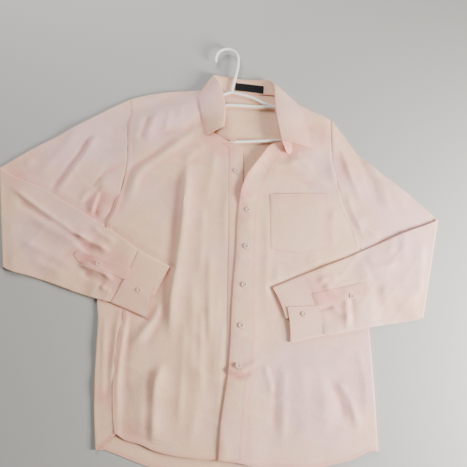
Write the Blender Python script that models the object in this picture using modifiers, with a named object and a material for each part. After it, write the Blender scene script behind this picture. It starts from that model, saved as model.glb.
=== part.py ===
"""A dress shirt with long sleeves, laid flat on its back with a plastic hanger inside it.

The shirt lies front up.  The sleeves are folded at the elbows and the forearms lie back over
the front.  The collar is open and the hanger's hook sticks out past it.  +X is the viewer's
right, +Y points to the collar, +Z is up, and the floor is z = 0.  The wearer's right side is at
-X.  Each cloth piece is an open sheet of points with a Solidify modifier.
"""
import math

import bmesh
import bpy
from mathutils import Vector

MM = 0.001             # every size and table below is in millimetres

# --- cloth -----------------------------------------------------------------------------------
WALL = 1.2             # thickness of a cloth wall
PLY = 2.0              # from the middle of one layer to the middle of the next
LOW = WALL / 2         # middle of the layer that lies on the floor
SEAM = 0.4             # gap between two edges that are sewn together
LAPPED = 3.5           # how far the front laps the back along the side seam that shows
LAPPED_FROM = -166     # y below which the side seam shows, past the cuff that lies on it
HIDDEN_GAP = 4         # gap of the side seam under the forearm
UNDER_GAP = 1.5        # gap of the hidden side seam, on the floor
ON_TOP = 2.1           # from the middle of a panel to the middle of a piece laid on it

# --- hanger ----------------------------------------------------------------------------------
ROD = 3.0              # radius of the hanger's rod
HANGER_AT = (21, 337)  # foot of the hook
HANGER_TURN = 4.0      # degrees, turned to the left
HANGER_HALF = 195      # half the hanger's width
ARM_DROP = 83          # from the foot of the hook down to the ends of the arms
BAR_DROP = 126         # from the foot of the hook down to the bottom bar
STRAP_DROP = 33        # from the foot of the hook down to the strap bar
REST_Z = 5.2           # middle of the bottom bar
HANGER_SLOPE = 0.028   # rise of the hanger towards its hook
HOLD = 15              # the cloth stays up this far beside a rod
FALL = 60              # and is down again this much further out
HOOK = (               # x, y of the hook's middle line
    (21, 342), (24, 352), (31, 383), (36, 410), (36, 432), (31, 444), (21, 452), (9, 454),
    (-3, 450), (-12, 440), (-16, 427), (-16, 416))

# --- outline of the body, rows from the shoulder down ----------------------------------------
#   y, x
ARMHOLE_RIGHT = ((316, -203), (290, -203), (234, -207), (160, -204), (90, -212), (40, -224), (8, -238))
ARMHOLE_LEFT = ((273, 248), (246, 246), (184, 245), (124, 252), (65, 263), (20, 277), (-7, 286), (-35, 291))
FOLD_RIGHT = ((8, -240), (-60, -243), (-146, -240), (-182, -235), (-256, -233), (-327, -229), (-410, -219))
FOLD_LEFT = ((-35, 292), (-193, 293), (-309, 292), (-415, 289))
SIDE_SEAM_RIGHT = ((8, -232), (-20, -226), (-60, -212), (-100, -200), (-166, -184), (-210, -189),
                   (-256, -193), (-301, -193), (-352, -189), (-384, -183))
NECK_RIGHT = ((310, -22), (290, -22), (255, -20), (232, -12), (216, 4), (206, 22), (198, 42), (190, 46),
              (72, 46), (-161, 44), (-277, 42), (-430, 37))
NECK_LEFT = ((300, 146), (262, 150), (228, 150), (214, 136), (206, 110), (176, 87), (140, 61), (129, 54),
             (90, 41), (42, 35), (17, 33), (-38, 31), (-100, 26), (-161, 22), (-228, 19), (-280, 16),
             (-327, 8), (-361, 3), (-430, -2))
UNDERARM_RIGHT = 8     # y of the armpit
UNDERARM_LEFT = -35
WRAP_LEFT = ((-35, 5), (-60, 12), (-100, 22), (-193, 38), (-415, 40))   # y, front turned under
#   share across, y
TOP_RIGHT = ((0, 287), (0.34, 292), (0.72, 303), (1, 304))
TOP_LEFT = ((0, 299), (0.3, 275), (0.73, 254), (1, 246))
HEM_RIGHT = ((0, -384), (0.07, -394), (0.19, -401), (0.31, -412), (0.47, -420), (0.71, -426), (1, -428))
HEM_LEFT = ((0, -428), (0.12, -432), (0.24, -438), (0.6, -441), (0.85, -431), (1, -415))
HEM_BACK = ((0, -424), (0.2, -447), (0.5, -460), (0.8, -440), (1, -410))
HEM_WRAP = ((0, -410), (0.5, -396), (1, -384))   # share from the fold to the side seam
YOKE_SEAM = 238        # y of the seam between yoke and back
#   x, y
SHOULDER_RIGHT = ((-203, 314), (-165, 326), (-108, 336), (-54, 339), (-22, 341))
SHOULDER_LEFT = ((146, 338), (169, 315), (215, 290), (248, 273))
NECK_BACK = ((-22, 335), (-5, 338), (15, 340), (60, 340), (105, 340), (128, 337), (146, 331))

# --- heights ---------------------------------------------------------------------------------
LAP = 3.9              # how much higher the left front lies where it laps the right one
NECK_RAISE = 1.8       # the yoke's rise over the collar leaf that is folded under it
#   from x, y, to x, y, half width, height
FOLDS = (
    (-84, 160, -80, 60, 16, 3.0),
    (-78, -10, -66, -150, 18, 3.5),
    (-30, 30, -30, -160, 20, 2.5),
    (-70, 175, -150, 125, 18, 3.0),
    (-95, -205, -165, -300, 18, 4.0),
    (-90, -280, -105, -405, 16, 3.5),
    (100, -270, 100, -415, 18, 3.0),
    (200, -290, 262, -370, 18, 3.5),
    (150, -240, 155, -330, 18, 2.5),
    (120, 150, 175, 120, 16, 2.5),
    (-330, 190, -380, 130, 14, 2.5),
    (-235, 235, -330, 130, 18, 3.0),
    (290, 150, 330, 90, 16, 2.5),
    (350, 115, 400, 50, 14, 2.0),
)
ROLL = ((110, 206, 61, 140, 14, 4.0), (61, 140, 41, 92, 12, 2.5))   # the turned edge of the left front
FORE_FOLDS = (
    (-440, 60, -330, 20, 16, 3.0),
    (-400, -20, -290, -60, 20, 3.5),
    (-290, -5, -200, -60, 14, 3.0),
    (430, -20, 330, -70, 18, 3.0),
    (410, -105, 335, -125, 18, 3.5),
    (300, -58, 215, -88, 12, 2.5),
)

# --- sleeves ---------------------------------------------------------------------------------
#   outer edge x, y, underarm edge x, y, bow of the section towards the body
UPPER_ARM_RIGHT = (
    (-203, 315, -240, 16, -14), (-235, 296, -262, 4, -11), (-290, 260, -297, -18, -6),
    (-352, 216, -345, -42, -2), (-407, 180, -385, -62, 0), (-448, 149, -413, -75, 0))
ELBOW_RIGHT = (-468, 134, -428, -83)
FOREARM_RIGHT = (
    (-436, 114, -408, -90, 0), (-400, 99, -380, -97, 0), (-361, 82, -348, -107, 0),
    (-319, 57, -314, -118, 0), (-275, 31, -278, -131, 0), (-235, 6, -246, -141, 0),
    (-200, -17, -226, -146, 0), (-166, -43, -213, -149, 3))
UPPER_ARM_LEFT = (
    (248, 273, 291, -36, -16), (274, 237, 305, -55, -12), (302, 192, 325, -80, -8), (345, 151, 350, -110, -3),
    (395, 108, 377, -142, 0), (445, 60, 396, -162, 0))
ELBOW_LEFT = (466, 38, 405, -174)
FOREARM_LEFT = (
    (436, 25, 385, -178, 0), (386, 6, 345, -184, 0), (340, -15, 310, -190, 0), (298, -33, 280, -195, 0),
    (256, -52, 250, -200, 0), (210, -71, 225, -205, 0), (167, -88, 203, -208, 8))
CUFF_END_RIGHT = (-102, -75, -142, -178, -4)
CUFF_END_LEFT = (103, -115, 135, -223, 7)
CUFF_LAP = (0.55, 0.42)      # where the cuff's upper end stops, share across, at the seam and at the end
CUFF_UNDER = 0.17            # how far the lower end goes on beneath it
PLACKET_WIDTH = 42
STAND_WIDTH = 30
GAUNTLET_WIDTH = 25
GAUNTLET_CLEAR = 0.6   # how much further above the sleeve the strip at the slit lies
GAUNTLET_BUTTON_CLEAR = 1.2
#   section of the sleeve, share across of the strip's lower edge
SLIT_RIGHT = ((17.85, 0.57), (17.5, 0.58), (17, 0.59), (16, 0.61), (15, 0.64), (14.6, 0.65))
SLIT_LEFT = ((16.85, 0.53), (16.5, 0.54), (16, 0.55), (15, 0.57), (14, 0.59), (13.7, 0.6))
SLEEVE_POINTS = 8                            # points across each layer of a sleeve
#   x, y
POCKET = ((104, 88), (228, 92), (221, -32), (160, -45), (102, -36))

# --- collar, from the wearer's right front end round the back to the left front end ------------
#   foot of the stand x, y, z, fold x, y, z, edge of the leaf x, y, z; z of None lies on the front
COLLAR = (
    (-14, 229, None, 3, 240, 17, -34, 222, None),
    (-22, 252, None, 4, 262, 18, -43, 254, None),
    (-24, 280, None, 5, 284, 18, -49, 284, None),
    (-23, 308, None, 3, 308, 17, -53, 312, None),
    (-18, 329, 13.5, 0, 334, 18, -58, 337, 14.5),
    (-14, 338, 8.5, -3, 356, 19, -46, 358, 10),
    (-2, 338, 5.5, 1, 368, 13, -29, 369, 4.5),
    (20, 337, 4.3, 19, 373, 5.0, -4, 350, 1.0),
    (60, 337, 4.3, 60, 374, 4.0, 60, 329, 0.8),
    (96, 337, 4.3, 98, 374, 5.0, 112, 338, 1.0),
    (112, 336, 4.8, 110, 371, 8.5, 129, 346, 1.6),
    (125, 334, 5.8, 117, 362, 13.5, 145, 352, 4.2),
    (141, 329, 10.0, 119, 346, 19.5, 163, 338, 10.5),
    (147, 306, 14.5, 119, 315, 21.5, 177, 311, 15.5),
    (151, 284, None, 120, 286, 22, 186, 280, None),
    (152, 258, None, 123, 258, 23, 192, 248, None),
    (153, 232, None, 127, 230, 23, 196, 220, None),
    (154, 212, None, 131, 206, 23, 199, 197, None),
)
#   tab of the stand that reaches past the leaf: foot x, y, z, top x, y, z
TAB_RIGHT = ((28, 203, None, 36, 222, 14), (4, 217, None, 19, 240, 18))
TAB_LEFT = ((155, 195, None, 136, 192, 21), (153, 184, None, 139, 180, 17))
LEAF_BEND = 2.3        # from the stand's middle out to the leaf's, beside the fold
LEAF_RISE = 1.3        # from the stand's upper edge up to the leaf's middle
COLLAR_CLEAR = 0.7     # how much further above the fronts the stand's foot lies
LEAF_CLEAR = 0.4       # and the leaf's edge above that

# --- small parts -----------------------------------------------------------------------------
BUTTON_R = 5.5
BUTTON_THICK = 2.0
CUFF_BUTTON_R = 5.0
FRONT_BUTTONS = ((55, 49), (51, -31), (46, -111), (40, -191), (34, -266))
OPEN_BUTTON = (31, 139)
CUFF_BUTTONS = {"right": (-160, -125), "left": (163, -168)}
GAUNTLET_BUTTONS = {"right": (-243, -73), "left": (262, -132)}
LABEL_SIZE = (64, 23, 1.0)
LABEL_AT = (62, 352, 6.1)
LABEL_TURN = -5.0

# --- rows of points of the body's panels, y ----------------------------------------------------
ROWS_FRONT_RIGHT = (304, 290, 270, 250, 232, 216, 206, 196, 172, 148, 124, 100, 76, 50, 24, 4, -16,
                    -44, -80, -118, -156, -189, -206, -232, -270, -308, -346, -386, -428)
ROWS_FRONT_LEFT = (299, 280, 260, 240, 224, 212, 204, 190, 172, 152, 130, 108, 84, 58, 32, 6, -22,
                   -40, -62, -92, -124, -158, -194, -232, -270, -308, -346, -388, -428)
ROWS_BACK = (238, 190, 140, 90, 44, 12, -8, -32, -52, -90, -140, -190, -240, -290, -340, -390, -430, -460)

# Share of a fold's radius, inwards from the fold and up from its middle.
TURN = ((1.0, 1.0), (0.3, 0.7), (0.0, 0.0), (0.3, -0.7), (1.0, -1.0))
FOLD_POINTS = 7        # points round a side fold and back to the seam
RUN_END = 14           # a panel's even columns end this far inside its side fold

COLOURS = {            # base colour, roughness
    "cloth": ((0.70, 0.51, 0.45), 0.85),
    "label": ((0.02, 0.02, 0.022), 0.7),
    "button": ((0.78, 0.66, 0.60), 0.35),
    "hanger": ((0.80, 0.84, 0.82), 0.35),
}


# --- curves and heights ------------------------------------------------------------------------
def along(rows, t):
    """Smooth value at t through rows of (t, value), without overshoot."""
    rows = sorted(rows)
    if t <= rows[0][0]:
        return rows[0][1]
    if t >= rows[-1][0]:
        return rows[-1][1]
    steps = [(b[1] - a[1]) / (b[0] - a[0]) for a, b in zip(rows, rows[1:])]
    inner = [0 if s * r <= 0 else 2 * s * r / (s + r) for s, r in zip(steps, steps[1:])]
    slopes = [steps[0]] + inner + [steps[-1]]
    k = max(i for i in range(len(steps)) if rows[i][0] <= t)
    width = rows[k + 1][0] - rows[k][0]
    f = (t - rows[k][0]) / width
    ends = rows[k][1] * (1 + 2 * f) * (1 - f) ** 2 + rows[k + 1][1] * f * f * (3 - 2 * f)
    return ends + width * (slopes[k] * f * (1 - f) ** 2 - slopes[k + 1] * f * f * (1 - f))


def mix(a, b, t):
    return a + (b - a) * t


def smooth(t):
    t = min(1.0, max(0.0, t))
    return t * t * (3 - 2 * t)


def off_line(x, y, x0, y0, x1, y1):
    """Distance of a point from a straight line between two points."""
    dx, dy = x1 - x0, y1 - y0
    t = ((x - x0) * dx + (y - y0) * dy) / (dx * dx + dy * dy)
    t = min(1.0, max(0.0, t))
    return math.hypot(x - x0 - dx * t, y - y0 - dy * t)


def ridges(table, x, y):
    """Height of the soft folds of a table at a point."""
    return sum(row[5] * math.exp(-(off_line(x, y, *row[:4]) / row[4]) ** 2) for row in table)


def hanger_point(side, drop):
    """A place on the hanger, from its own middle line and the foot of its hook."""
    turn = math.radians(HANGER_TURN)
    x = HANGER_AT[0] + side * math.cos(turn) + drop * math.sin(turn)
    y = HANGER_AT[1] + side * math.sin(turn) - drop * math.cos(turn)
    return x, y


def hanger_z(y):
    return REST_Z + (y - HANGER_AT[1] + BAR_DROP) * HANGER_SLOPE


def over_hanger(x, y):
    """How much the upper layer rises where it passes over the hanger's rods."""
    foot = HANGER_AT
    ends = [hanger_point(side * HANGER_HALF, ARM_DROP) for side in (-1, 1)]
    bars = [hanger_point(side * HANGER_HALF, BAR_DROP) for side in (-1, 1)]
    rods = [(foot, ends[0]), (foot, ends[1]), (bars[0], bars[1]), (ends[0], bars[0]), (ends[1], bars[1])]
    near = min(off_line(x, y, *a, *b) for a, b in rods)
    rise = hanger_z(y) + ROD + WALL - LOW - PLY
    return rise * (1 - smooth((near - HOLD) / FALL))


def upper_z(x, y):
    """Middle of the upper layer, on the body and on the upper arms."""
    return LOW + PLY + over_hanger(x, y) + ridges(FOLDS, x, y)


def left_front_z(x, y):
    """Middle of the left front, which laps the right front and rolls open at the neck."""
    lap = LAP * smooth((100 - x) / 45) * smooth((150 - y) / 60)
    return upper_z(x, y) + lap + ridges(ROLL, x, y)


def lower_z(x, y):
    """Middle of the lower layer, which rises over the collar leaf folded under it."""
    near = math.hypot(max(0, -20 - x, x - 140), max(0, 325 - y))
    return LOW + NECK_RAISE * (1 - smooth(near / 50))


# --- making pieces -----------------------------------------------------------------------------
def finish(name, kind):
    colour, roughness = COLOURS[kind]
    material = bpy.data.materials.new(name)
    material.use_nodes = True
    shader = material.node_tree.nodes["Principled BSDF"]
    shader.inputs["Base Color"].default_value = (*colour, 1)
    shader.inputs["Roughness"].default_value = roughness
    shader.inputs["Metallic"].default_value = 0
    return material


def place(name, mesh, kind):
    """Put a mesh into the shirt's collection with a material of its own."""
    piece = bpy.data.objects.new(name, mesh)
    bpy.data.collections["Shirt"].objects.link(piece)
    mesh.materials.append(finish(name, kind))
    mesh.shade_smooth()
    mesh.set_sharp_from_angle(angle=math.radians(50))
    return piece


def cloth(name, grid, ring=False, keep=None, even=True):
    """A cloth piece whose middle goes through a grid of points."""
    bm = bmesh.new()
    verts = {}

    def vert(i, j):
        if (i, j) not in verts:
            verts[i, j] = bm.verts.new([c * MM for c in grid[i][j]])
        return verts[i, j]

    columns = len(grid[0])
    for i in range(len(grid) - 1):
        for j in range(columns if ring else columns - 1):
            if keep and not keep(i, j):
                continue
            k = (j + 1) % columns
            bm.faces.new((vert(i, j), vert(i, k), vert(i + 1, k), vert(i + 1, j)))
    bmesh.ops.recalc_face_normals(bm, faces=bm.faces)
    mesh = bpy.data.meshes.new(name)
    bm.to_mesh(mesh)
    bm.free()
    piece = place(name, mesh, "cloth")
    shell = piece.modifiers.new("Wall", "SOLIDIFY")
    shell.thickness = WALL * MM
    shell.offset = 0
    shell.use_even_offset = even
    return piece


def spread(a, b, count):
    return [mix(a, b, k / (count - 1)) for k in range(count)]


def round_fold(edge, out, start, end, width):
    """Points (x, z) round a side fold at x = edge and back inwards by width."""
    r = abs(start - end) / 2
    middle = (start + end) / 2
    up = 1 if start > end else -1
    path = [(edge - out * inward * r, middle + up * high * r) for inward, high in TURN]
    return path + [(edge - out * (r + (width - r) * share), end) for share in (0.5, 1.0)]


# --- body panels -------------------------------------------------------------------------------
def front_right():
    """The wearer's right front, from the armhole and side seam to the centre edge."""
    columns = [0, 0.03, 0.09, *spread(0.18, 1, 10)]
    grid = []
    for row in ROWS_FRONT_RIGHT:
        v = (ROWS_FRONT_RIGHT[0] - row) / (ROWS_FRONT_RIGHT[0] - ROWS_FRONT_RIGHT[-1])
        line = []
        for u in columns:
            y = mix(along(TOP_RIGHT, u), along(HEM_RIGHT, u), v) - SEAM * (1 - v)
            arm = y > UNDERARM_RIGHT
            lapped = smooth((LAPPED_FROM - y) / 12)
            seam = along(SIDE_SEAM_RIGHT, y) + mix(HIDDEN_GAP, -LAPPED, lapped)
            x = mix(along(ARMHOLE_RIGHT, y) + SEAM if arm else seam, along(NECK_RIGHT, y), u)
            line.append((x, y, upper_z(x, y) + ON_TOP * lapped * (u < 0.05)))
        grid.append(line)
    return grid


def front_left():
    """The wearer's left front, from its free edge over the chest and round the side fold."""
    columns = spread(0, 1, 13)
    grid, folded = [], []
    for row in ROWS_FRONT_LEFT:
        v = (ROWS_FRONT_LEFT[0] - row) / (ROWS_FRONT_LEFT[0] - ROWS_FRONT_LEFT[-1])
        line = []
        for u in columns:
            y = mix(along(TOP_LEFT, u), along(HEM_LEFT, u), v) - SEAM * (1 - v)
            arm = y > UNDERARM_LEFT
            edge = along(ARMHOLE_LEFT, y) - SEAM if arm else along(FOLD_LEFT, y)
            x = mix(along(NECK_LEFT, y), edge - RUN_END, u)
            line.append((x, y, left_front_z(x, y)))
        if arm:
            line += [(edge, y, left_front_z(edge, y))] * FOLD_POINTS
        else:
            line += [(x, y, z) for x, z in round_fold(edge, 1, LOW + PLY, LOW, along(WRAP_LEFT, y))]
        folded.append(not arm)
        grid.append(line)
    return grid, lambda i, j: j < len(columns) or folded[i]


def back():
    """The back below the yoke, flat on the floor and round the right side fold to its seam."""
    columns = spread(0, 1, 15)
    hem = along(HEM_BACK, 1)
    grid, folded = [], []
    for row in ROWS_BACK:
        v = (ROWS_BACK[0] - row) / (ROWS_BACK[0] - ROWS_BACK[-1])
        line = []
        for u in columns:
            y = mix(YOKE_SEAM - SEAM, along(HEM_BACK, u), v)
            if y > UNDERARM_LEFT:
                inner = along(ARMHOLE_LEFT, y) - SEAM
            else:
                inner = along(FOLD_LEFT, y) - along(WRAP_LEFT, y) - UNDER_GAP
            if abs(y - UNDERARM_LEFT + 8) < 30:
                inner -= 4
            arm = y > UNDERARM_RIGHT
            edge = along(ARMHOLE_RIGHT, y) + SEAM if arm else along(FOLD_RIGHT, y)
            line.append((mix(inner, edge + RUN_END, u), y, LOW))
        if arm:
            line += [(edge, y, LOW)] * FOLD_POINTS
        else:
            path = round_fold(edge, -1, LOW, LOW + PLY, along(SIDE_SEAM_RIGHT, y) - edge)
            for (x, z), share in zip(path, (0, 0, 0, 0, 0, 0.5, 1)):
                line.append((x, y + (along(HEM_WRAP, share) - hem) * v * v, z))
        folded.append(not arm)
        grid.append(line)
    return grid, lambda i, j: j < len(columns) or folded[i]


def shoulder_y(x):
    return along(SHOULDER_RIGHT if x < 60 else SHOULDER_LEFT, x)


def yoke():
    """Under the neck from armhole to armhole, and over each shoulder to the front seam."""
    right = spread(-203 + SEAM, -22, 9)
    neck = (-5, 15, 45, 75, 105, 128)
    left = spread(146, 247 - SEAM, 7)
    grid = []
    for x in (*right, *neck, *left):
        fold = shoulder_y(x)
        wing = not -22 < x < 146
        seam = along([(mix(-203, -22, u), y) for u, y in TOP_RIGHT] if x < 60 else
                     [(mix(146, 246, u), y) for u, y in TOP_LEFT], x) + SEAM
        top = LOW + PLY + over_hanger(x, fold - 6)
        low = lower_z(x, fold)
        r = (top - low) / 2
        top_y = fold - r if wing else along(NECK_BACK, x)
        line = [(x, y, lower_z(x, y)) for y in spread(YOKE_SEAM + SEAM, top_y, 6)]
        line += [(x, fold - inward * r, (top + low) / 2 - high * r) for inward, high in TURN[1:-1]]
        for y in spread(fold - r, seam, 4):
            line.append((x, y, mix(top, upper_z(x, y), smooth((fold - r - y) / 12))))
        grid.append(line)
    bands = len(right) - 1, len(right) + len(neck)
    return grid, bands


def strip(grid_rows, edge, width, height, count):
    """A band of the given width beside an edge, above the panel it is sewn to."""
    band = []
    for y in grid_rows:
        x0 = along(edge, y)
        band.append([(x, y, height(x, y)) for x in spread(x0, x0 + width, count)])
    return band


def placket():
    """The band along the left front's free edge."""
    rows = [y for y in ROWS_FRONT_LEFT if y < 200]
    rows[-1] += 1.5
    return strip(rows, NECK_LEFT, PLACKET_WIDTH, lambda x, y: left_front_z(x, y) + ON_TOP, 4)


def button_stand():
    """The band along the right front's edge, which the placket laps."""
    rows = [y for y in ROWS_FRONT_RIGHT if y < 190]
    rows[-1] += 1.5
    return strip(rows, NECK_RIGHT, -STAND_WIDTH, lambda x, y: upper_z(x, y) + ON_TOP, 4)


def pocket():
    """Chest pocket with a pointed foot, laid on the left front."""
    top = [POCKET[0], POCKET[1]]
    foot = [POCKET[4], POCKET[3], POCKET[2]]
    grid = []
    for v in spread(0, 1, 8):
        line = []
        for u in spread(0, 1, 8):
            x = mix(mix(top[0][0], top[1][0], u), mix(foot[0][0], foot[2][0], u), v)
            low = mix(foot[0][1], foot[1][1], u * 2) if u < 0.5 else mix(foot[1][1], foot[2][1], u * 2 - 1)
            y = mix(mix(top[0][1], top[1][1], u), low, v)
            line.append((x, y, left_front_z(x, y) + ON_TOP))
        grid.append(line)
    return grid


# --- sleeves and cuffs ---------------------------------------------------------------------------
def ring(row, middle_z, normal, outer, inner, armhole=None, shift=0):
    """One closed section of a flattened sleeve.

    normal points from the layer outside the elbow's fold to the layer inside it.  outer and
    inner give, at a point, how far each layer lies from the section's middle line.
    """
    ax, ay, bx, by, bow = row
    length = math.hypot(bx - ax, by - ay)
    side = Vector((by - ay, ax - bx)) / length

    def spot(t, level):
        y = mix(ay, by, t) - side.y * bow * 4 * t * (1 - t)
        x = mix(ax, bx, t) - side.x * bow * 4 * t * (1 - t)
        if armhole:
            x, y = along(armhole, mix(ay, by, t)) + shift, mix(ay, by, t)
        return (x + normal[0] * level, y + normal[1] * level, middle_z + normal[2] * level)

    def level(t, layer):
        x, y, _ = spot(t, 0)
        return -outer(x, y) if layer < 0 else inner(x, y)

    def turn(t):
        low, high = level(t, -1), level(t, 1)
        half = (high - low) / 2
        middle = (low + high) / 2
        return [(middle + rise * half, inward * half / length) for inward, rise in TURN[1:-1]]

    inset = 1.2 / length
    shares = spread(inset, 1 - inset, SLEEVE_POINTS)
    points = [spot(t, level(t, -1)) for t in shares]
    points += [spot(1 - t, lev) for lev, t in reversed(turn(1 - inset))]
    points += [spot(t, level(t, 1)) for t in reversed(shares)]
    points += [spot(t, lev) for lev, t in turn(inset)]
    return points


def lift_upper(x, y):
    return PLY / 2 + over_hanger(x, y) + ridges(FOLDS, x, y)


def lift_fore(x, y):
    return PLY / 2 + ridges(FORE_FOLDS, x, y)


def flat(x, y):
    return PLY / 2


def fore_z(x, y):
    return LOW + 3 * PLY + ridges(FORE_FOLDS, x, y)


def gauntlet_z(x, y):
    return fore_z(x, y) + GAUNTLET_BUTTON_CLEAR


def elbow_rows(elbow, outward):
    """Sections round the elbow's fold, as (row, middle z, normal)."""
    ax, ay, bx, by = elbow
    length = math.hypot(bx - ax, by - ay)
    out = Vector((ay - by, bx - ax)) / length * outward
    reach = 1.5 * PLY + WALL / 2
    rows = []
    for degrees in (0, 45, 90, 135, 180):
        turn = math.radians(degrees)
        shift = out * (PLY * math.sin(turn) - reach)
        row = (ax + shift.x, ay + shift.y, bx + shift.x, by + shift.y, 0)
        normal = (-out.x * math.sin(turn), -out.y * math.sin(turn), math.cos(turn))
        rows.append((row, LOW + PLY / 2 + PLY * (1 - math.cos(turn)), normal))
    return rows


def sleeve(armhole, upper_arm, elbow, forearm, outward):
    """A flattened tube from the armhole, round the elbow's fold, to the cuff's seam."""
    low = LOW + PLY / 2
    high = LOW + 2.5 * PLY
    grid = [ring(upper_arm[0], low, (0, 0, 1), flat, lift_upper, armhole, outward * 2 * SEAM)]
    grid += [ring(row, low, (0, 0, 1), flat, lift_upper) for row in upper_arm[1:]]
    grid += [ring(row, z, normal, flat, flat) for row, z, normal in elbow_rows(elbow, outward)]
    return grid + [ring(row, high, (0, 0, -1), lift_fore, flat) for row in forearm]


def cuff(seam, end, inward):
    """A band round the sleeve's end whose upper end laps the lower one on the visible side."""
    low, top = LOW + 2 * PLY, LOW + 3 * PLY
    over = top + ON_TOP
    grid = []
    for s in spread(0, 1, 5):
        row = [mix(a, b, s) for a, b in zip(seam, end)]
        row[0] += inward * SEAM * 2 * (1 - s)
        row[2] += inward * SEAM * 2 * (1 - s)
        length = math.hypot(row[2] - row[0], row[3] - row[1])
        side = Vector((row[3] - row[1], row[0] - row[2])) / length
        lap = mix(*CUFF_LAP, s)
        r = PLY / 2 / length
        path = [(lap + CUFF_UNDER, top), (lap, top), (lap * 0.55, top), (0.08, top)]
        path += [(inward_share * r, (low + top) / 2 + high * PLY / 2) for inward_share, high in TURN]
        path += [(0.25, low), (0.5, low), (0.75, low)]
        path += [(1 - inward_share * r, (low + top) / 2 - high * PLY / 2) for inward_share, high in TURN]
        path += [(0.95, top + 0.3), (0.88, mix(top, over, 0.6)), (lap + CUFF_UNDER + 0.06, over),
                 (lap + CUFF_UNDER / 2, over), (lap, over)]
        line = []
        for t, z in path:
            bow = row[4] * 4 * t * (1 - t)
            x = mix(row[0], row[2], t) - side.x * bow
            y = mix(row[1], row[3], t) - side.y * bow
            line.append((x, y, z))
        grid.append(line)
    return grid


def gauntlet(grid, slit):
    """The strip sewn along the slit above a cuff, made from the sleeve's own upper points."""
    band = []
    for row, share in slit:
        k = int(row)
        section = [Vector(p).lerp(Vector(q), row - k) for p, q in zip(grid[k], grid[k + 1])]
        upper = section[:SLEEVE_POINTS]
        width = (upper[-1] - upper[0]).length
        line = []
        for step in spread(0, GAUNTLET_WIDTH / width, 3):
            place_at = (share - step) * (SLEEVE_POINTS - 1)
            j = int(place_at)
            line.append(upper[j].lerp(upper[j + 1], place_at - j) + Vector((0, 0, ON_TOP + GAUNTLET_CLEAR)))
        band.append(line)
    return band


# --- collar --------------------------------------------------------------------------------------
def on_front(x, y, z):
    """A height, or where it is None the height of a piece laid on the fronts."""
    if z is not None:
        return z
    height = upper_z(x, y) if x < 60 else left_front_z(x, y)
    return height + ON_TOP + COLLAR_CLEAR


def collar_rows():
    """Foot, fold and leaf edge of each section, with the stand's tabs at both ends."""
    rows = []
    for row in (*TAB_RIGHT, *COLLAR, *TAB_LEFT):
        foot, fold = [Vector((row[k], row[k + 1], on_front(*row[k:k + 3]))) for k in (0, 3)]
        edge = fold
        if len(row) > 6:
            clear = LEAF_CLEAR if row[8] is None else 0
            edge = Vector((row[6], row[7], on_front(*row[6:9]) + clear))
        rows.append([foot, fold, edge])
    return rows


def between(rows, steps):
    """The rows with smooth ones put in between, steps for each gap."""
    full = []
    for k in range(len(rows) - 1):
        before, a, b, after = (rows[max(0, k - 1)], rows[k], rows[k + 1], rows[min(len(rows) - 1, k + 2)])
        for step in range(steps):
            t = step / steps
            full.append([0.5 * (2 * q + (r - p) * t + (2 * p - 5 * q + 4 * r - s) * t * t
                                + (3 * q - p - 3 * r + s) * t ** 3)
                         for p, q, r, s in zip(before, a, b, after)])
    return full + [rows[-1]]


def collar_stand():
    """The band round the neck, from its seam up to the leaf's fold, with a tab at each end."""
    return [[foot.lerp(top, t) for t in spread(0, 1, 4)] for foot, top, _ in between(collar_rows(), 2)]


def collar_leaf():
    """The leaf: from above the stand's edge over its fold and out to the leaf's own edge."""
    grid = []
    tabs = 2 * len(TAB_RIGHT)
    rows = between(collar_rows(), 2)
    for k in range(tabs, len(rows) - tabs):
        foot, fold, edge = rows[k]
        up = (fold - foot).normalized()
        out = up.cross(rows[k + 1][1] - rows[k - 1][1]).normalized()
        line = []
        for degrees in (90, 120, 150, 180):
            turn = math.radians(degrees)
            line.append(fold - out * LEAF_BEND * math.cos(turn) + up * LEAF_RISE * math.sin(turn))
        start = line[-1]
        bend = start.lerp(edge, 0.4) + out * (edge - start).length * 0.08
        bend.z = max(bend.z, min(start.z, edge.z))
        for t in (0.22, 0.45, 0.7, 1.0):
            line.append(start.lerp(bend, t).lerp(bend.lerp(edge, t), t))
        grid.append(line)
    return grid


# --- small parts ---------------------------------------------------------------------------------
def button(name, x, y, height, radius):
    """A button that rests on the highest place under its rim."""
    rim = [(x + radius * math.cos(a), y + radius * math.sin(a)) for a in spread(0, math.tau, 9)]
    z = max(height(*spot) for spot in (*rim, (x, y))) + ON_TOP + WALL / 2 + 0.3
    bm = bmesh.new()
    bmesh.ops.create_cone(bm, cap_ends=True, segments=16, radius1=radius * MM, radius2=radius * MM,
                          depth=BUTTON_THICK * MM)
    mesh = bpy.data.meshes.new(name)
    bm.to_mesh(mesh)
    bm.free()
    piece = place(name, mesh, "button")
    piece.location = (x * MM, y * MM, (z + BUTTON_THICK / 2) * MM)
    edge = piece.modifiers.new("Edge", "BEVEL")
    edge.width = 0.5 * MM
    edge.segments = 1


def label():
    bm = bmesh.new()
    bmesh.ops.create_cube(bm, size=1)
    bmesh.ops.scale(bm, vec=[side * MM for side in LABEL_SIZE], verts=bm.verts)
    mesh = bpy.data.meshes.new("label")
    bm.to_mesh(mesh)
    bm.free()
    piece = place("label", mesh, "label")
    piece.location = [c * MM for c in LABEL_AT]
    piece.rotation_euler = (0, 0, math.radians(LABEL_TURN))


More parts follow.
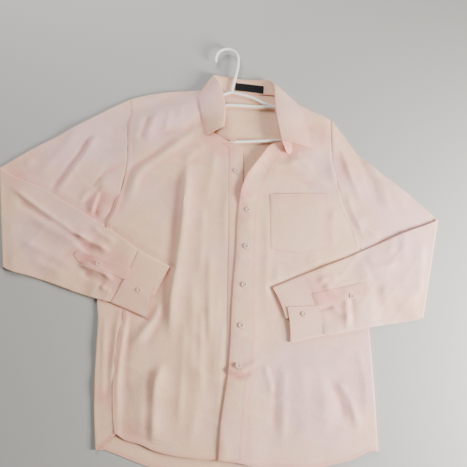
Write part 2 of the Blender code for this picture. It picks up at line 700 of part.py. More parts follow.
def rod(name, points, closed):
    """A round rod through points, as a closed mesh."""
    curve = bpy.data.curves.new(name, "CURVE")
    curve.dimensions = "3D"
    curve.bevel_depth = ROD * MM
    curve.bevel_resolution = 2
    curve.use_fill_caps = True
    spline = curve.splines.new("POLY")
    spline.points.add(len(points) - 1)
    for spot, (x, y) in zip(spline.points, points):
        spot.co = (x * MM, y * MM, hanger_z(y) * MM, 1)
    spline.use_cyclic_u = closed
    guide = bpy.data.objects.new(name, curve)
    bpy.data.collections["Shirt"].objects.link(guide)
    graph = bpy.context.evaluated_depsgraph_get()
    mesh = bpy.data.meshes.new_from_object(guide.evaluated_get(graph))
    bpy.data.objects.remove(guide)
    bm = bmesh.new()
    bm.from_mesh(mesh)
    bmesh.ops.remove_doubles(bm, verts=bm.verts, dist=0.00001)
    bm.to_mesh(mesh)
    bm.free()
    return mesh


def hanger():
    """The frame with rounded ends, the strap bar and the hook, as one body."""
    outline = [hanger_point(0, 0)]
    corner = (BAR_DROP - ARM_DROP) / 2
    for side in (1, -1):
        half = []
        for share in (0.08, 0.3, 0.55, 0.8, 1.0):
            half.append((side * share * (HANGER_HALF - corner), ARM_DROP * share ** 1.1 * 0.93))
        for degrees in (60, 30, 0, -30, -60, -90):
            turn = math.radians(degrees)
            half.append((side * (HANGER_HALF - corner + corner * math.cos(turn)),
                         (ARM_DROP + BAR_DROP) / 2 - corner * math.sin(turn)))
        half += [(side * share * HANGER_HALF, BAR_DROP) for share in (0.6, 0.3)]
        outline += [hanger_point(*spot) for spot in (half if side > 0 else reversed(half))]
    frame = place("hanger", rod("hanger", outline, True), "hanger")
    reach = STRAP_DROP / ARM_DROP * HANGER_HALF
    strap = [hanger_point(side * reach, STRAP_DROP) for side in (-1, -0.5, 0.5, 1)]
    for name, points in (("strap_bar", strap), ("hook", ((21, 338), *HOOK[1:]))):
        cutter = bpy.data.objects.new(name, rod(name, points, False))
        bpy.data.collections["Cutters"].objects.link(cutter)
        cutter.hide_render = True
        cutter.display_type = "WIRE"
        joint = frame.modifiers.new(name, "BOOLEAN")
        joint.operation = "UNION"
        joint.object = cutter


def main():
    for old in list(bpy.data.objects):
        bpy.data.objects.remove(old)
    for name in ("Shirt", "Cutters"):
        group = bpy.data.collections.new(name)
        bpy.context.scene.collection.children.link(group)
    cloth("front_right", front_right())
    grid, keep = front_left()
    cloth("front_left", grid, keep=keep)
    grid, keep = back()
    cloth("back", grid, keep=keep)
    grid, (first, last) = yoke()
    cloth("yoke", grid, keep=lambda i, j: j < 5 or i < first or i >= last)
    cloth("button_stand", button_stand())
    cloth("placket", placket())
    cloth("pocket", pocket())
    sleeve_right = sleeve(ARMHOLE_RIGHT, UPPER_ARM_RIGHT, ELBOW_RIGHT, FOREARM_RIGHT, -1)
    sleeve_left = sleeve(ARMHOLE_LEFT, UPPER_ARM_LEFT, ELBOW_LEFT, FOREARM_LEFT, 1)
    cloth("sleeve_right", sleeve_right, ring=True)
    cloth("sleeve_left", sleeve_left, ring=True)
    cloth("cuff_right", cuff(FOREARM_RIGHT[-1], CUFF_END_RIGHT, 1))
    cloth("cuff_left", cuff(FOREARM_LEFT[-1], CUFF_END_LEFT, -1))
    cloth("sleeve_placket_right", gauntlet(sleeve_right, SLIT_RIGHT))
    cloth("sleeve_placket_left", gauntlet(sleeve_left, SLIT_LEFT))
    cloth("collar_stand", collar_stand())
    cloth("collar_leaf", collar_leaf(), even=False)
    for number, spot in enumerate(FRONT_BUTTONS, 1):
        button(f"button_{number}", *spot, left_front_z, BUTTON_R)
    button("button_open", *OPEN_BUTTON, upper_z, BUTTON_R)
    for side, spot in CUFF_BUTTONS.items():
        button(f"cuff_button_{side}", *spot, lambda x, y: LOW + 3 * PLY, CUFF_BUTTON_R)
    for side, spot in GAUNTLET_BUTTONS.items():
        button(f"gauntlet_button_{side}", *spot, gauntlet_z, CUFF_BUTTON_R)
    label()
    hanger()


main()
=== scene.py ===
"""Looks of a long-sleeved dress shirt that lies flat on its back with a plastic hanger in it.

Every cloth piece is a thin shell over the form of its solid, with folds and creases placed one by
one.  Lengths in the tables are millimetres: +X is the viewer's right, +Y points to the collar
and +Z is up from the floor.
"""
import math

import bmesh
import bpy
import numpy as np
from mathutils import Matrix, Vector


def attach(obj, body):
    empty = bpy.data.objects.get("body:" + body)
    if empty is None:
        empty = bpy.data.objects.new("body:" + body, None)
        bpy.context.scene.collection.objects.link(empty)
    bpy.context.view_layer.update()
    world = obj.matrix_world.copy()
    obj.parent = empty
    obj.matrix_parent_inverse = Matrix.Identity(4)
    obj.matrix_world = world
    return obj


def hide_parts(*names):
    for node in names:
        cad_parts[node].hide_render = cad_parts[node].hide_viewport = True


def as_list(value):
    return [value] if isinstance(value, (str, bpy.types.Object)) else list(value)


MM = 0.001

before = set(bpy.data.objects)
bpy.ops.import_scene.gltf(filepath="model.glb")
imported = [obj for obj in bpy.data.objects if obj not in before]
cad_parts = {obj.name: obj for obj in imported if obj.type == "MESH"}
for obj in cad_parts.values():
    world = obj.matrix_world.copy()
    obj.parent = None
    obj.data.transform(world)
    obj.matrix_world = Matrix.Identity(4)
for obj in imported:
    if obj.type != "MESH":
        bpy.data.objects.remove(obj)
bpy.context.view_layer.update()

# --- cloth ---
THICK = 0.6            # one thickness of cloth, as drawn
STIFF = 1.1            # cuffs and collar, with their interlining
LOW = 0.45             # middle of the layer on the floor
PLY = 2.0              # from the middle of one layer to the middle of the next
ON_TOP = 0.85          # from a panel's middle to the middle of what is sewn on it
LAP = 2.4              # how much higher the left front lies where it laps the right one
TUCK = 3.0             # how far a panel runs on beneath its neighbour at a seam

# --- hanger ---
ROD = 3.0              # half its thickness
HANGER_AT = (21, 337)  # foot of the hook
HANGER_TURN = 4.0
HANGER_HALF = 195
ARM_DROP = 83
BAR_DROP = 126
STRAP_DROP = 33
STRAP_SLANT = 8        # how much further the strap bar drops at its right end
ARM_BOW = 4            # how far the arm bows up between the hook and the strap bar
REST_Z = 5.2           # height of the bottom bar
HANGER_SLOPE = 0.028   # and the hanger's rise from there towards the hook
HOLD = 7               # the cloth over it stays up this far to both sides, and falls over this much
FALL = 52
HOOK = ((21, 337), (24, 352), (31, 383), (36, 410), (36, 432), (31, 444), (21, 452), (9, 454),
        (-3, 450), (-12, 440), (-16, 427), (-16, 416))

# --- outline of the body ---
#   y, x
ARMHOLE_RIGHT = ((316, -203), (290, -203), (234, -207), (160, -204), (90, -212), (40, -224), (8, -238))
ARMHOLE_LEFT = ((273, 248), (246, 246), (184, 245), (124, 252), (65, 263), (20, 277), (-7, 286), (-35, 291))
FOLD_RIGHT = ((8, -240), (-60, -243), (-146, -240), (-182, -235), (-256, -233), (-327, -229), (-410, -219))
FOLD_LEFT = ((-35, 292), (-193, 293), (-309, 292), (-415, 289))
SIDE_SEAM_RIGHT = ((8, -232), (-20, -226), (-60, -212), (-100, -200), (-166, -184), (-210, -189),
                   (-256, -193), (-301, -193), (-352, -189), (-384, -183))
NECK_RIGHT = ((310, -22), (290, -22), (255, -20), (232, -12), (216, 4), (206, 22), (198, 42), (190, 46),
              (72, 46), (-161, 44), (-277, 42), (-430, 37))
NECK_LEFT = ((300, 146), (262, 150), (228, 150), (214, 136), (206, 110), (176, 87), (140, 61), (129, 54),
             (90, 41), (42, 35), (17, 33), (-38, 31), (-100, 26), (-161, 22), (-228, 19), (-270, 16),
             (-282, 15), (-327, 8), (-361, 3), (-430, -2))
PLACKET_INNER = ((208, 144), (190, 136), (176, 128), (140, 104), (96, 86), (61, 78), (-27, 72), (-140, 69),
                 (-255, 66), (-278, 61), (-300, 52), (-369, 46), (-430, 41))
WRAP_LEFT = ((-35, 5), (-60, 12), (-100, 22), (-193, 38), (-415, 40))
UNDERARM_RIGHT = 8
UNDERARM_LEFT = -35
YOKE_SEAM = 238
#   share across, y
TOP_RIGHT = ((0, 287), (0.34, 292), (0.72, 303), (1, 304))
TOP_LEFT = ((0, 299), (0.3, 275), (0.73, 254), (1, 246))
HEM_RIGHT = ((0, -384), (0.07, -394), (0.19, -401), (0.31, -412), (0.47, -420), (0.71, -426), (1, -428))
HEM_LEFT = ((0, -428), (0.12, -432), (0.24, -438), (0.6, -441), (0.85, -431), (1, -415))
HEM_BACK = ((0, -424), (0.2, -447), (0.5, -460), (0.8, -440), (1, -410))
HEM_WRAP = ((0, -410), (0.5, -396), (1, -384))
#   x, y
SHOULDER_RIGHT = ((-203, 314), (-165, 326), (-108, 336), (-54, 339), (-22, 341))
SHOULDER_LEFT = ((146, 338), (169, 315), (215, 290), (248, 273))
NECK_BACK = ((-22, 335), (-5, 338), (15, 340), (60, 340), (105, 340), (128, 337), (146, 331))

# --- sleeves and cuffs ---
#   outer edge x, y, underarm edge x, y, bow of the section towards the body
UPPER_ARM_RIGHT = (
    (-203, 315, -239, -4, -14), (-235, 296, -262, -8, -11), (-290, 260, -297, -24, -6),
    (-352, 216, -345, -42, -2), (-407, 180, -385, -62, 0), (-448, 149, -413, -75, 0))
ELBOW_RIGHT = (-468, 134, -428, -83)
FOREARM_RIGHT = (
    (-436, 114, -408, -90, 0), (-400, 99, -380, -97, 0), (-361, 82, -348, -107, 0),
    (-319, 57, -314, -118, 0), (-275, 31, -278, -131, 0), (-235, 6, -246, -141, 0),
    (-200, -17, -226, -146, 0), (-166, -43, -213, -149, 3))
UPPER_ARM_LEFT = (
    (248, 273, 291, -36, -16), (274, 237, 305, -55, -12), (302, 192, 325, -80, -8),
    (345, 151, 350, -110, -3), (395, 108, 377, -142, 0), (445, 60, 396, -162, 0))
ELBOW_LEFT = (466, 38, 405, -174)
FOREARM_LEFT = (
    (436, 25, 385, -178, 0), (386, 6, 345, -184, 0), (340, -15, 310, -190, 0), (298, -33, 280, -195, 0),
    (256, -52, 250, -200, 0), (210, -71, 225, -205, 0), (167, -88, 203, -208, 8))
CUFF_END_RIGHT = (-102, -75, -142, -178, -4)
CUFF_END_LEFT = (103, -115, 135, -223, 7)
CUFF_LAP = (0.55, 0.42)      # where the cuff's upper end stops, share across, at the seam and at the end
CUFF_UNDER = 0.17            # how far the lower end goes on beneath it
CUFF_BACK = 9                # the upper end lies this far back from the lower one at its corner
#   share along the forearm, share across, of the slit's strip, from the cuff to its point
SLIT_RIGHT = ((1.01, 0.567), (0.938, 0.58), (0.875, 0.59), (0.75, 0.61), (0.625, 0.64), (0.575, 0.65))
SLIT_LEFT = ((1.01, 0.527), (0.929, 0.54), (0.857, 0.55), (0.714, 0.57), (0.571, 0.59), (0.529, 0.6))
SLIT_WIDTH = 25
#   side, armhole, upper arm, elbow, forearm, way out from the body, cuff's end, slit
ARMS = (
    ("right", ARMHOLE_RIGHT, UPPER_ARM_RIGHT, ELBOW_RIGHT, FOREARM_RIGHT, -1, CUFF_END_RIGHT, SLIT_RIGHT),
    ("left", ARMHOLE_LEFT, UPPER_ARM_LEFT, ELBOW_LEFT, FOREARM_LEFT, 1, CUFF_END_LEFT, SLIT_LEFT))

# --- chest pocket: top corners, then outer, middle and inner foot, x, y ---
POCKET = ((104, 88), (228, 92), (221, -32), (160, -45), (102, -36))

# --- collar, from the wearer's right front end round the back to the left front end ---
COLLAR_STEPS = 8       # sections put in for each row
#   foot x, y, z, fold x, y, z, edge x, y, z; None lies on the front
COLLAR = (
    (-14, 229, None, 3, 240, 17, -34, 222, None),
    (-22, 252, None, 4, 262, 18, -43, 254, None),
    (-24, 280, None, 5, 284, 18, -49, 284, None),
    (-23, 308, None, 3, 308, 17, -53, 312, None),
    (-18, 329, 13.5, -2, 334, 18, -48, 334, 13.0),
    (-14, 338, 8.5, -11, 361, 17, -39, 354, 8.5),
    (-2, 338, 5.5, -20, 379, 9.5, -27, 371, 4.0),
    (20, 337, 4.3, 17, 377, 5.0, -4, 354, 1.0),
    (60, 337, 4.3, 60, 374, 4.0, 60, 329, 0.8),
    (96, 337, 4.3, 98, 375, 5.0, 110, 338, 1.0),
    (112, 336, 4.8, 110, 370, 8.5, 127, 345, 1.6),
    (125, 334, 5.8, 117, 360, 13.5, 141, 345, 4.2),
    (141, 329, 10.0, 119, 344, 19.5, 156, 329, 9.5),
    (147, 306, 14.5, 119, 315, 21.5, 172, 308, 14.0),
    (151, 284, None, 120, 286, 22, 186, 280, None),
    (152, 258, None, 123, 258, 23, 192, 248, None),
    (153, 232, None, 127, 230, 23, 196, 220, None),
    (154, 212, None, 131, 206, 23, 199, 197, None),
)
#   tab of the stand that reaches past the leaf: foot, then top
TAB_RIGHT = ((27, 204, None, 32, 217, 16), (4, 217, None, 14, 234, 20))
TAB_LEFT = ((155, 195, None, 136, 192, 21), (153, 184, None, 139, 180, 17))
LEAF_BEND = 2.3        # how far the leaf stands off the stand at the fold, and above it
LEAF_RISE = 1.3

# --- trimmings ---
BUTTON_R = 5.5
CUFF_BUTTON_R = 5.0
FRONT_BUTTONS = ((55, 49), (51, -31), (46, -111), (40, -191), (34, -266))
OPEN_BUTTON = (31, 139)
OPEN_HOLE = (72, 131)
CUFF_BUTTONS = {"right": (-160, -125), "left": (163, -168)}
GAUNTLET_BUTTONS = {"right": (-243, -73), "left": (262, -132)}
LABEL_SIZE = (65, 20)
LABEL_AT = (62, 352)
LABEL_TURN = -5.0

# --- folds and creases ---
# Each row is half width, height and lean, then x, y along the fold.  A negative height is a
# trough.  Lean steepens the side to the right of the fold.
BODY_CREASES = (
    (12, 6.4, 0.6, -74, 170, -77, 110, -81, 20, -88, -60, -96, -122, -98, -162, -95, -225),
    (12, -1.4, 0, -97, 60, -104, -30, -112, -110, -114, -170),
    (9, -2.4, 0, -60, 262, -84, 226, -118, 196, -150, 172, -184, 147, -201, 118, -209, 70, -214, 20),
    (12, 4.2, -0.5, -62, 234, -90, 204, -124, 176, -160, 148, -182, 116, -190, 60),
    (10, 2.0, 0.3, -139, 286, -159, 234, -162, 190),
    (6, -1.8, 0, -160, 270, -172, 236, -181, 203),
    (8, 1.6, 0.2, -117, 284, -122, 250, -128, 222),
    (7, 1.0, 0, -92, 290, -98, 262),
    (9, 3.0, 0.4, -118, -150, -135, -185, -152, -210, -172, -232),
    (9, -1.6, 0, -104, -148, -119, -188, -134, -216, -150, -246),
    (12, 4.8, 0.65, -104, -262, -118, -288, -121, -326, -119, -405),
    (14, 1.6, 0, -140, -280, -143, -330, -138, -396),
    (10, -1.2, 0, -170, -300, -172, -360),
    (4, 1.2, 0, -178, -140, -183, -210, -187, -256, -187, -309, -178, -386),
    (6, -1.2, 0, -172, -180, -176, -250, -172, -340),
    (8, 1.8, 0.5, -24, -40, -23, -141, -20, -240),
    (12, 1.5, 0.2, -57, -90, -54, -200, -55, -300),
    (13, 1.4, -0.2, -40, -250, -44, -330, -50, -410),
    (12, 1.8, 0, -15, 192, -21, 129, -36, 66),
    (8, 1.8, 0, -37, 203, -58, 183, -88, 160),
    (9, 1.2, 0.2, 10, 188, 14, 120, 8, 40, 10, -60),
    (8, 1.0, 0, -6, -120, -8, -230, -10, -330),
    (5, 1.1, 0.3, -38, -150, -37, -240, -34, -330),
    (8, 1.3, 0.2, -70, -180, -72, -290, -76, -390),
    (5, 0.9, 0.2, 4, -170, 0, -280, -6, -390),
    (7, 1.3, 0.3, -40, 60, -40, -20, -44, -100),
    (8, 1.3, 0.3, 119, -262, 119, -327, 113, -412),
    (6, -1.2, 0, 104, -285, 101, -340, 98, -388),
    (6, 1.6, 0, 84, -262, 92, -292, 100, -318),
    (8, 2.0, 0.4, 222, -296, 243, -327, 256, -384),
    (8, -1.5, 0, 206, -286, 224, -327, 230, -368),
    (16, 1.6, 0, 182, -262, 196, -320, 194, -392),
    (18, 1.3, 0, 150, -250, 158, -320, 152, -400),
    (9, 1.4, 0.2, 268, -230, 276, -300, 270, -370),
    (11, 2.4, 0.3, 134, 169, 181, 142, 239, 105),
    (9, -1.2, 0, 118, 146, 166, 124, 214, 100),
    (8, 1.8, 0, 87, 163, 127, 155, 172, 171, 206, 168),
    (8, 1.8, 0.2, 160, 192, 176, 168, 206, 146),
    (9, 1.4, 0, 236, 200, 240, 150, 246, 96),
    (8, -1.2, 0, 262, 90, 268, 40, 282, -12),
    (12, 1.3, 0, 240, 60, 232, 10, 238, -30),
    (10, 1.3, 0.2, 90, 70, 96, -20, 90, -110, 94, -200),
    (9, 1.1, 0, 116, -60, 112, -110),
    (9, 1.0, 0, 176, -56, 206, -64),
)
ARM_CREASES = (
    (5.5, -2.4, 0, -284, 222, -302, 178, -323, 142, -342, 106, -362, 74),
    (7, 2.8, 0.3, -272, 222, -290, 178, -310, 142, -329, 106, -350, 72),
    (5, -2.0, 0, -206, 206, -232, 160, -257, 116, -278, 80, -302, 50),
    (7, 2.2, 0.3, -196, 204, -222, 158, -246, 116),
    (13, 2.0, 0, -310, 240, -336, 190, -362, 150, -392, 112),
    (8, 2.8, 0.3, -236, 124, -262, 98, -284, 74, -298, 46),
    (6, -1.8, 0, -222, 122, -250, 98, -274, 74, -286, 46),
    (7, 4.4, 0.4, -244, 110, -258, 72, -272, 30),
    (4.5, -3.4, 0, -250, 96, -257, 60, -262, 18),
    (6.5, 4.6, -0.3, -230, 96, -240, 62, -252, 24),
    (3.5, -3.2, 0, -224, 76, -231, 48, -242, 14),
    (10, 1.5, 0, -212, 250, -218, 190, -216, 130),
    (10, 1.4, 0, -400, 160, -418, 132),
    (10, 2.6, 0.4, 258, 226, 272, 176, 286, 122, 306, 70),
    (9, -1.7, 0, 300, 202, 328, 118, 338, 60),
    (12, 2.2, 0, 318, 190, 350, 120, 362, 50),
    (8, 2.2, 0, 270, 90, 284, 40, 304, -10),
    (11, 1.6, 0, 350, 140, 386, 86, 400, 50),
    (8, 1.8, 0, 290, 40, 312, 10, 340, -10),
    (8, 1.2, 0, 372, 118, 412, 82),
)
FORE_CREASES = (
    (5.5, 2.6, 0.5, -440, 92, -393, 57, -360, 34, -328, 13, -292, -12, -250, -34),
    (7, -1.6, 0, -420, 58, -384, 36, -340, 10),
    (6.5, 3.6, 0.4, -296, -10, -268, -24, -243, -36, -222, -50),
    (5, -1.8, 0, -290, -28, -262, -42, -236, -56),
    (6, 4.0, 0.5, -282, -74, -249, -84, -228, -94, -212, -108),
    (5, -2.4, 0, -276, -92, -246, -102, -226, -116),
    (12, 2.2, 0, -404, -24, -362, -44, -318, -66, -284, -84),
    (12, 2.2, 0.2, -392, 26, -348, 2, -304, -24, -262, -60),
    (11, 1.8, 0, -380, -66, -336, -80, -300, -104),
    (7, 1.8, 0, -262, 6, -236, -14, -212, -32),
    (5, 1.8, 0, -236, -118, -214, -128),
    (12, 1.5, 0, -440, 30, -448, -20, -436, -62),
    (9, 1.9, 0.2, 298, -42, 327, -68, 372, -58),
    (9, 1.5, 0, 389, 14, 380, -30, 384, -60),
    (12, 2.0, 0, 318, -116, 352, -124, 404, -138),
    (7, 2.2, 0.3, 251, -112, 249, -160, 247, -202),
    (5, -1.3, 0, 262, -118, 262, -160, 262, -198),
    (6, 2.2, 0, 206, -108, 222, -120, 246, -140),
    (6, 1.6, 0, 196, -104, 212, -96, 240, -92),
    (3.5, -1.8, 0, 168, -166, 200, -158, 232, -151),
    (6, 1.5, 0, 216, -150, 236, -164, 262, -176),
    (14, 1.8, 0, 276, -66, 304, -90, 330, -130, 344, -168),
    (12, 1.6, 0, 420, -6, 416, -70, 402, -140),
    (9, 1.3, 0, 360, -8, 350, -44),
)
BACK_CREASES = (
    (16, 1.0, 0, -150, 180, -120, 60, -130, -60),
    (18, 1.0, 0, 160, 160, 120, 40, 140, -90),
    (15, 0.9, 0, -60, -80, -20, -200, -40, -320),
    (14, 0.9, 0, 210, -60, 190, -200, 220, -330),
    (18, 0.8, 0, 40, 120, 60, 0, 40, -140),
    (14, 0.9, 0, -180, -160, -150, -280, -170, -380),
    (14, 0.8, 0, 60, -260, 100, -360),
)
WRAP_CREASES = (
    (5, 0.8, 0.3, -224, -166, -220, -238, -214, -340),
    (4, 1.2, 0, -196, -150, -198, -230, -200, -300, -194, -370),
    (5, -0.5, 0, -208, -180, -210, -260, -206, -350),
)
#   turned edge of the left front, and the kinks in the placket
ROLL = (
    (11, 6.4, 0.3, 110, 208, 86, 178, 60, 142, 42, 100, 34, 60),
    (10, -1.0, 0, 124, 196, 104, 160, 84, 118),
)
KINK = (
    (4, 3.2, 0.85, 2, -273, 20, -277, 40, -276, 58, -268, 76, -259),
    (4, -1.6, 0, 8, -284, 36, -287, 62, -279),
    (5, 0.8, 0, 20, -298, 40, -302),
    (4.5, 1.5, 0.4, 36, 80, 56, 74, 76, 83),
    (4, -0.9, 0, 36, 64, 54, 61),
    (4, 1.0, 0.3, 36, 30, 52, 24, 70, 28),
    (3.5, 0.9, 0, 34, 8, 50, 12, 60, 4),
    (4, 0.9, 0.3, 32, -56, 50, -52, 70, -60),
    (4, 0.8, 0, 28, -132, 44, -136, 64, -130),
    (4, 0.9, 0.3, 24, -214, 44, -210, 62, -216),
)

# Soft patches, x, y, reach: COOLER is cooler and pinker than the rest; the next table is painted shade,
# pinker and darker.
COOLER = ((-310, 190, 120), (-150, 250, 75), (-70, 300, 40), (365, 80, 110), (395, -70, 90),
          (165, -330, 110), (250, -260, 90), (215, 150, 60), (-350, -20, 60), (175, 300, 40),
          (-30, 330, 35))
# Painted shade: pinker, darker spots in creases, in gaps and under the collar's and cuffs' edges.
PINK_SHADE_SPOTS = ((-14, 206, 26), (14, 192, 22), (-38, 220, 16), (150, 196, 26), (104, 186, 20), (168, 210, 18),
          (-178, -112, 40), (-226, -70, 42), (-280, -30, 34), (270, 150, 24), (232, 235, 26),
          (116, -150, 18), (190, -120, 30), (-262, 50, 28), (-228, 60, 24), (-200, -240, 22),
          (-216, -320, 18), (34, -280, 12), (44, 92, 22), (46, 30, 14), (-186, -170, 22),
          (-420, 120, 40), (226, -150, 26), (-160, -380, 20))

# --- cloth sheets: width, length and area in metres, how each is held, and what is under it ---
SHEETS = {
    "front_right": (0.29, 0.76, 0.185, "laid", "back_cloth"),
    "front_left": (0.34, 0.76, 0.215, "folded", "back_cloth"),
    "back": (0.58, 0.72, 0.375, "laid", "floor"),
    "yoke": (0.47, 0.16, 0.060, "folded", "back_cloth"),
    "placket": (0.045, 0.64, 0.027, "laid", "front_left_cloth"),
    "button_stand": (0.032, 0.63, 0.0195, "laid", "front_right_cloth"),
    "pocket": (0.125, 0.135, 0.0163, "laid", "front_left_cloth"),
    "sleeve_right": (0.50, 0.56, 0.215, "folded", "floor"),
    "cuff_right": (0.25, 0.070, 0.0172, "folded", "front_right_cloth"),
    "sleeve_placket_right": (0.027, 0.12, 0.0029, "laid", "sleeve_right_cloth"),
    "sleeve_left": (0.50, 0.54, 0.200, "folded", "floor"),
    "cuff_left": (0.25, 0.070, 0.0172, "folded", "front_left_cloth"),
    "sleeve_placket_left": (0.027, 0.12, 0.0031, "laid", "sleeve_left_cloth"),
    "collar_stand": (0.46, 0.036, 0.0145, "laid", "yoke_cloth"),
    "collar_leaf": (0.48, 0.065, 0.0250, "folded", "collar_stand_cloth"),
}


# --- lines and heights ---
def along(rows, t):
    """Smooth values at t through rows of (t, value), without overshoot."""
    at, value = np.array(sorted(rows), float).T
    t = np.clip(t, at[0], at[-1])
    step = np.diff(value) / np.diff(at)
    before, after = step[:-1], step[1:]
    same = before * after > 0
    inner = np.where(same, 2 * before * after / np.where(same, before + after, 1), 0)
    slope = np.concatenate((step[:1], inner, step[-1:]))
    k = np.clip(np.searchsorted(at, t, side="right") - 1, 0, len(step) - 1)
    width = at[k + 1] - at[k]
    f = (t - at[k]) / width
    ends = value[k] * (1 + 2 * f) * (1 - f) ** 2 + value[k + 1] * f * f * (3 - 2 * f)
    return ends + width * (slope[k] * f * (1 - f) ** 2 - slope[k + 1] * f * f * (1 - f))


def mix(a, b, t):
    return a + (b - a) * t


def smooth(t):
    t = np.clip(t, 0, 1)
    return t * t * (3 - 2 * t)


def round_path(points, steps=5):
    """Points of a smooth line through the given ones."""
    rows = np.array([points[0], *points, points[-1]], float)
    line = []
    for before, a, b, after in zip(rows, rows[1:], rows[2:], rows[3:]):
        for t in np.arange(steps) / steps:
            line.append(0.5 * (2 * a + (b - before) * t + (2 * before - 5 * a + 4 * b - after) * t ** 2
                               + (3 * a - before - 3 * b + after) * t ** 3))
    return np.array([*line, rows[-1]])


def off_path(x, y, path):
    """Distance from a path, positive on its right, and the share along it."""
    near = np.full(np.shape(x), 1e6)
    side = np.ones(np.shape(x))
    share = np.zeros(np.shape(x))
    path = np.array(path, float)
    lengths = np.hypot(*(path[1:] - path[:-1]).T)
    start = np.concatenate(([0], np.cumsum(lengths)))
    for (x0, y0), (x1, y1), length, begun in zip(path, path[1:], lengths, start):
        dx, dy = (x1 - x0) / length, (y1 - y0) / length
        run = np.clip((x - x0) * dx + (y - y0) * dy, 0, length)
        px, py = x - x0 - dx * run, y - y0 - dy * run
        far = np.hypot(px, py)
        closer = far < near
        near = np.where(closer, far, near)
        side = np.where(closer, np.where(dy * px - dx * py > 0, 1, -1), side)
        share = np.where(closer, (begun + run) / start[-1], share)
    return near * side, share


def creases(table, x, y):
    """Height of the folds of a table, each fading out at both ends."""
    height = np.zeros(np.shape(x))
    for width, rise, lean, *path in table:
        line = round_path(np.reshape(path, (-1, 2)))
        reach = width * 4
        low, high = line.min(0) - reach, line.max(0) + reach
        here = (x > low[0]) & (x < high[0]) & (y > low[1]) & (y < high[1])
        if not here.any():
            continue
        off, share = off_path(x[here], y[here], line)
        flank = width * np.where(off > 0, 1 - 0.6 * lean, 1 + 0.5 * lean)
        fade = smooth(share / 0.22 + 0.12) * smooth((1 - share) / 0.3 + 0.08)
        uneven = 1 + 0.25 * np.sin(share * 9 + width)
        height[here] += 1.25 * rise * fade * uneven * np.exp(-np.abs(off / flank) ** 1.6)
    return height


def ripple(x, y, size, stretch, turn, seed):
    """Uneven soft waves between -1 and 1, of a size, drawn out along one direction."""
    grid = np.random.RandomState(seed).uniform(-1, 1, (64, 64))
    c, s = math.cos(math.radians(turn)), math.sin(math.radians(turn))
    u = (x * c + y * s) / size + 500
    v = (y * c - x * s) / size / stretch + 500
    i, j = np.floor(u).astype(int), np.floor(v).astype(int)
    f, g = smooth(u - i), smooth(v - j)
    corner = [[grid[(i + a) % 64, (j + b) % 64] for b in (0, 1)] for a in (0, 1)]
    return mix(mix(corner[0][0], corner[0][1], g), mix(corner[1][0], corner[1][1], g), f)


def crinkle(x, y, turn=85):
    """The small unevenness of worn, unpressed cotton."""
    broad = ripple(x, y, 46, 2.6, turn, 3) * 0.9 + ripple(x, y, 27, 2.2, turn + 24, 5) * 0.42
    sharp = 1 - np.abs(ripple(x, y, 33, 2.8, turn - 14, 8)) * 2
    fine = ripple(x, y, 13, 1.8, turn + 50, 9) * 0.16
    return 1.2 * broad + 0.6 * np.clip(sharp, 0, 1) ** 2 + fine


def inside(x, y, corners):
    """Distance outside a closed outline, 0 in it."""
    ring = np.array([*corners, corners[0]], float)
    off, _ = off_path(x, y, ring)
    odd = np.zeros(np.shape(x), bool)
    for (x0, y0), (x1, y1) in zip(ring, ring[1:]):
        cross = (y0 > y) != (y1 > y)
        odd ^= cross & (x < x0 + (y - y0) * (x1 - x0) / (y1 - y0 if y1 != y0 else 1))
    return np.where(odd, 0, np.abs(off))


def outer_line(*rows):
    """Closed outline of the sections of an arm."""
    return [row[:2] for row in rows] + [row[2:4] for row in reversed(rows)]


FORE_LINES = (outer_line(ELBOW_RIGHT, *FOREARM_RIGHT, CUFF_END_RIGHT),
              outer_line(ELBOW_LEFT, *FOREARM_LEFT, CUFF_END_LEFT))
ARM_LINES = (outer_line(*UPPER_ARM_RIGHT, ELBOW_RIGHT), outer_line(*UPPER_ARM_LEFT, ELBOW_LEFT))
BODY_LINE = ((-203, 315), (-54, 339), (150, 335), (248, 273), (245, 184), (252, 124), (277, 20),
             (291, -35), (293, -193), (289, -415), (60, -430), (-219, -400), (-233, -256), (-243, -60),
             (-240, 8), (-212, 90), (-204, 160))
ELBOW_LINES = ((ELBOW_RIGHT[:2], ELBOW_RIGHT[2:]), (ELBOW_LEFT[:2], ELBOW_LEFT[2:]))
EASE_DOWN = 34         # beside what it lies on, a forearm comes down to the floor over this much


def free(x, y):
    """1 where nothing lies on the body or the upper arm, 0 under a forearm."""
    return smooth(np.min([inside(x, y, line) for line in FORE_LINES], axis=0) / 13)


def from_elbow(x, y):
    """0 at an elbow's fold, 1 away from it."""
    return smooth(np.min([np.abs(off_path(x, y, line)[0]) for line in ELBOW_LINES], axis=0) / 26)


def hanger_point(side, drop):
    """A place on the hanger, from its own middle line and the foot of its hook."""
    turn = math.radians(HANGER_TURN)
    return (HANGER_AT[0] + side * math.cos(turn) + drop * math.sin(turn),
            HANGER_AT[1] + side * math.sin(turn) - drop * math.cos(turn))


def hanger_z(y):
    return REST_Z + (y - HANGER_AT[1] + BAR_DROP) * HANGER_SLOPE


def over_hanger(x, y):
    """How much the upper layer rises where it passes over the hanger."""
    ends = [hanger_point(side * HANGER_HALF, ARM_DROP) for side in (-1, 1)]
    bars = [hanger_point(side * HANGER_HALF, BAR_DROP) for side in (-1, 1)]
    rods = (*((HANGER_AT, end) for end in ends), bars, *zip(ends, bars))
    near = np.min([np.abs(off_path(x, y, rod)[0]) for rod in rods], axis=0)
    rise = hanger_z(y) + ROD + THICK - LOW - PLY
    return rise * (1 - smooth((near - HOLD) / FALL)) ** 1.15


def top(x, y):
    """Middle of the upper layer of the body."""
    loft = 1.3 + 0.9 * ripple(x, y, 95, 1.6, 80, 21)
    soft = loft + creases(BODY_CREASES, x, y) + crinkle(x, y)
    return LOW + PLY + over_hanger(x, y) + free(x, y) * np.maximum(soft, -0.5)


